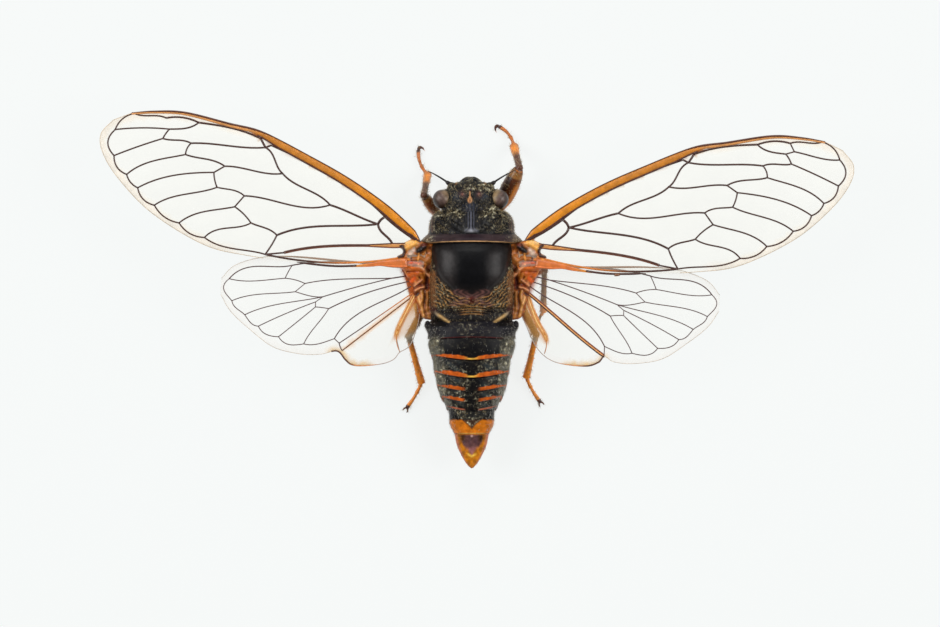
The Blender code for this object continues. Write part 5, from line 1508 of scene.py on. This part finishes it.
def build_veins(wing, looks):
    made = Ribbons(wing)
    dark = (62, 32, 24) if wing.fore else (80, 54, 54)
    slim = 1.0 if wing.fore else 0.68
    for vein, line in zip(wing.veins, wing.lines):
        if vein[:2] in HIDDEN_VEINS:
            continue
        half = np.full(len(line), vein[4] * slim)
        coat = Coat(line, (110, 60, 20) if vein[0] == "brown_root" else dark)
        if vein[0] in AMBER_VEINS:
            coat.lay((208, 120, 40), 0.9 * step(line[:, 0], *AMBER_VEINS[vein[0]]))
        if vein[:2] in DOUBLE_VEINS:
            stations, widths, fill, upper, lower = DOUBLE_VEINS[vein[:2]]
            wide = np.interp(line[:, 0], stations, widths)
            part = wide > 0
            made.add(line[part], wide[part], fill, 0.35)
            made.add(offset(line, wide)[part], 0.05, upper, 1.0)
            made.add(offset(line, -wide)[part], 0.05, lower, 1.0)
            rest = line[:, 0] > stations[-1] - 0.5
            line, half, coat.colours = line[rest], half[rest], coat.colours[rest]
            half = half * step(line[:, 0], stations[-1] - 0.5, stations[-1] + 0.3)
        if len(line) > 2:
            made.add(line, np.maximum(half, 0.02), coat)
    edge, half, costa = forewing_edges(made, wing, dark) if wing.fore else hindwing_edges(made, wing)
    made.add(offset(edge, -half), half, costa, 0.6)
    veins = make_object(wing.name + "_veins", *joined(made.pieces), looks["vein"])
    paint(veins, np.vstack(made.colours))
    keep(veins, "wing_membrane")


# Hairs

# Points of a hair: three round its root, three round its bend, and its tip
HAIR_POINTS = 7


def surface_roots(obj, count, density, seed):
    """Random places on an object's surface, more where the density is higher, with the normals there."""
    mesh = obj.data
    mesh.calc_loop_triangles()
    corners = np.empty(3 * len(mesh.loop_triangles), dtype=np.int32)
    mesh.loop_triangles.foreach_get("vertices", corners)
    corners = corners.reshape(-1, 3)
    places, normals = vertices(obj), vertex_normals(obj)
    a, b, c = (places[corners[:, at]] for at in range(3))
    area = np.linalg.norm(np.cross(b - a, c - a), axis=1)
    middles = (a + b + c) / 3
    weight = area * np.clip(density(middles, unit(normals[corners].mean(axis=1))), 0, 1)
    draw = np.random.default_rng(seed)
    chosen = draw.choice(len(corners), count, p=weight / weight.sum())
    u, v = draw.random(count), draw.random(count)
    flip = u + v > 1
    u, v = np.where(flip, 1 - u, u), np.where(flip, 1 - v, v)
    shares = np.column_stack((1 - u - v, u, v))
    roots = sum(shares[:, at : at + 1] * places[corners[chosen, at]] for at in range(3))
    outward = unit(sum(shares[:, at : at + 1] * normals[corners[chosen, at]] for at in range(3)))
    return roots, outward, draw


def build_hairs(name, obj, count, density, lie, form, tones, slot, looks, seed):
    """Fine tapering hairs rooted on a surface, each a closed three-sided spike with one bend.

    The form is a hair's length, radius and lift in degrees. In the map for baking, each hair's patch lies
    where its root is, seen along the body.
    """
    length, radius, lift = form
    roots, outward, draw = surface_roots(obj, count, density, seed)
    along = lie(roots)
    along = unit(along - outward * (along * outward).sum(axis=1, keepdims=True))
    along = unit(along + 0.30 * draw.standard_normal((count, 3)))
    rise = np.radians(lift * (0.6 + 0.8 * draw.random(count)))[:, None]
    start = unit(along * np.cos(rise) + outward * np.sin(rise))
    end = unit(start - 0.45 * outward * np.sin(rise) + 0.12 * draw.standard_normal((count, 3)))
    size = (length * (0.55 + 0.7 * draw.random(count)))[:, None]
    side = unit(np.cross(start, outward) + 1e-6)
    up = np.cross(side, start)
    middle = roots + 0.5 * size * start
    tip = middle + 0.5 * size * end
    points = np.empty((count, HAIR_POINTS, 3))
    for corner in range(3):
        angle = 2 * math.pi * corner / 3
        spread = side * math.cos(angle) + up * math.sin(angle)
        points[:, corner] = roots - 0.02 * outward + radius * spread
        points[:, 3 + corner] = middle + radius * 0.75 * spread
    points[:, HAIR_POINTS - 1] = tip
    points[..., 2] = np.maximum(points[..., 2], FLOOR_CLEARANCE)
    pattern = [(2, 1, 0)]
    for corner in range(3):
        after = (corner + 1) % 3
        pattern += [(corner, after, 3 + after, 3 + corner), (3 + corner, 3 + after, 6)]
    faces = []
    for face in pattern:
        faces += (HAIR_POINTS * np.arange(count)[:, None] + np.array(face)).tolist()
    hairs = mesh_object(name, points.reshape(-1, 3), faces, looks["hair"])
    mesh = hairs.data
    coat = Coat(roots, tones[0]).lay(tones[1], draw.random(count))
    paint(hairs, np.repeat(coat.colours, HAIR_POINTS, axis=0))
    low, high = vertices(obj).min(axis=0), vertices(obj).max(axis=0)
    centre = (low + high) / 2
    turn = np.arctan2(roots[:, 2] - centre[2], roots[:, 0] - centre[0])
    u = 0.01 + 0.97 * (turn / (2 * math.pi) + 0.5)
    v = 0.01 + 0.97 * (roots[:, 1] - low[1]) / (high[1] - low[1])
    patch = 0.003 * np.array(((0, 0), (1, 0), (0.5, 1), (0.2, 0.2), (0.8, 0.2), (0.5, 0.8), (0.5, 0.5)))
    spots = np.column_stack((u, v))[:, None] + patch[None]
    corners = np.empty(len(mesh.loops), dtype=np.int32)
    mesh.loops.foreach_get("vertex_index", corners)
    layer = mesh.uv_layers.new(name="OFBake")
    layer.uv.foreach_set("vector", spots.reshape(-1, 2)[corners].astype(np.float32).ravel())
    keep(hairs, slot)


def backwards(roots):
    way = np.zeros_like(roots)
    way[:, 0] = 0.25 * np.sign(roots[:, 0]) * np.minimum(np.abs(roots[:, 0]), 1)
    way[:, 1] = -1
    return way


def build_coats(head, pronotum, thorax, abdomen, legs, looks):
    gold = ((120, 96, 56), (212, 190, 140))
    silver = ((120, 114, 104), (214, 210, 198))

    def head_density(places, normals):
        x, y, z = places.T
        off_face = 1 - step(y, 6.9, 7.2)
        return (0.25 + 0.75 * off_face) * (0.5 + 0.5 * step(np.abs(x), 0.3, 1.0))

    def head_lie(roots):
        return np.column_stack((0.2 * roots[:, 0], np.ones(len(roots)), np.zeros(len(roots))))

    def pronotum_density(places, normals):
        x, y, z = places.T
        patches = bell(np.abs(x) - 2.1, 0.55) * (0.4 + 0.6 * np.sin(4.0 * y + 3.0 * x) ** 2)
        return (0.04 + patches + 0.6 * step(z, 4.6, 4.0)) * (0.15 + 0.85 * step(y, 3.75, 3.95))

    def thorax_density(places, normals):
        x, y, z = places.T
        inside = shield_edge(x, y)
        open_part = np.where(z > 4.8, step(inside, 0.0, -0.14), 0.5)
        bare_rear = 1 - 0.8 * step(y, -1.4, -1.6) * (z > 4.8)
        return open_part * (1 - 0.8 * cross_share(x, y) * (z > 4.8)) * bare_rear

    def abdomen_density(places, normals):
        x, y, z = places.T
        sides = step(np.abs(normals[:, 0]), 0.35, 0.75)
        return (0.05 + 0.95 * sides) * (1 - 0.8 * step(y, -9.6, -10.0))

    for seed, coat in enumerate((
        ("head_hair", head, 2200, head_density, head_lie, (0.15, 0.005, 40), gold),
        ("pronotum_hair", pronotum, 3600, pronotum_density, backwards, (0.16, 0.005, 38), gold),
        ("thorax_hair", thorax, 4200, thorax_density, backwards, (0.17, 0.005, 32), gold),
        ("abdomen_hair", abdomen, 7000, abdomen_density, backwards, (0.20, 0.0055, 16), silver),
    ), 1):
        build_hairs(*coat, "cuticle_black", looks, seed)

    for index, (name, (leg, joints)) in enumerate(legs.items()):
        hip, trochanter, knee, ankle, toe = joints

        def leg_lie(roots):
            return np.tile(unit(toe - knee), (len(roots), 1))

        def leg_density(places, normals):
            return 1.0 - 0.7 * step(np.linalg.norm(places - hip, axis=1), 0.9, 0.4)

        coat = (name + "_hair", leg, 700, leg_density, leg_lie, (0.24, 0.008, 34), gold)
        build_hairs(*coat, "cuticle_amber", looks, 10 + index)


# Floor, lights and camera

# The floor reflects little and glows instead, as a light table does, so that shadows stay faint
FLOOR_GREY = 0.095


def build_stage():
    reach = 400.0
    corners = [(-reach, -reach, 0), (reach, -reach, 0), (reach, reach, 0), (-reach, reach, 0)]
    mesh = bpy.data.meshes.new("floor")
    mesh.from_pydata([tuple(MM * value for value in corner) for corner in corners], [], [(0, 1, 2, 3)])
    floor = linked("floor", mesh)
    cover = new_material("pale floor", {
        "Roughness": 0.9, "Specular IOR Level": 0.1, "Emission Strength": 0.865,
        "Emission Color": (*tone(248, 251, 250), 1),
    })
    source = add_node(cover, "RGB", {})
    source.outputs[0].default_value = (FLOOR_GREY, FLOOR_GREY, FLOOR_GREY, 1)
    vary_colour(cover, source.outputs[0], 0.02, 0.995, 1.005)
    mesh.materials.append(cover)

    world = bpy.data.worlds.new("studio")
    bpy.context.scene.world = world
    world.use_nodes = True
    world.node_tree.nodes["Background"].inputs["Color"].default_value = (1.0, 1.0, 1.0, 1.0)
    world.node_tree.nodes["Background"].inputs["Strength"].default_value = 0.24

    for name, place, power, size in (
        ("left softbox", (-420.0, 120.0, 400.0), 2.3, 0.34),
        ("right softbox", (420.0, 60.0, 400.0), 2.05, 0.34),
        ("front softbox", (0.0, 430.0, 380.0), 0.9, 0.3),
    ):
        lamp = bpy.data.lights.new(name, "AREA")
        lamp.energy = power
        lamp.size = size
        lit = linked(name, lamp)
        lit.location = Vector(place) * MM
        lit.rotation_euler = (Vector((0, 0, 4)) - Vector(place)).to_track_quat("-Z", "Y").to_euler()


def build_camera():
    view = bpy.data.cameras.new("camera")
    view.type = "PERSP"
    view.sensor_fit = "HORIZONTAL"
    view.sensor_width = SENSOR_WIDTH
    view.lens = SENSOR_WIDTH * (CAMERA_HEIGHT - SHARP_HEIGHT) / (PICTURE_WIDTH * MM_PER_PIXEL)
    view.clip_start = 0.01
    view.clip_end = 10.0
    camera = linked("camera", view)
    camera.location = Vector((*VIEW_CENTRE, CAMERA_HEIGHT)) * MM
    bpy.context.scene.camera = camera
    bpy.context.scene.view_settings.view_transform = "Standard"


def main():
    looks = make_materials()
    build_camera()
    build_stage()
    head = build_head(looks)
    build_feelers(looks)
    pronotum = build_pronotum(looks)
    thorax = build_thorax(looks)
    build_wing_bases(looks)
    abdomen = build_abdomen(looks)
    legs = build_legs(looks)
    for name in WINGS:
        wing = Wing(name)
        build_membrane(wing, looks)
        build_veins(wing, looks)
    build_coats(head, pronotum, thorax, abdomen, legs, looks)


main()
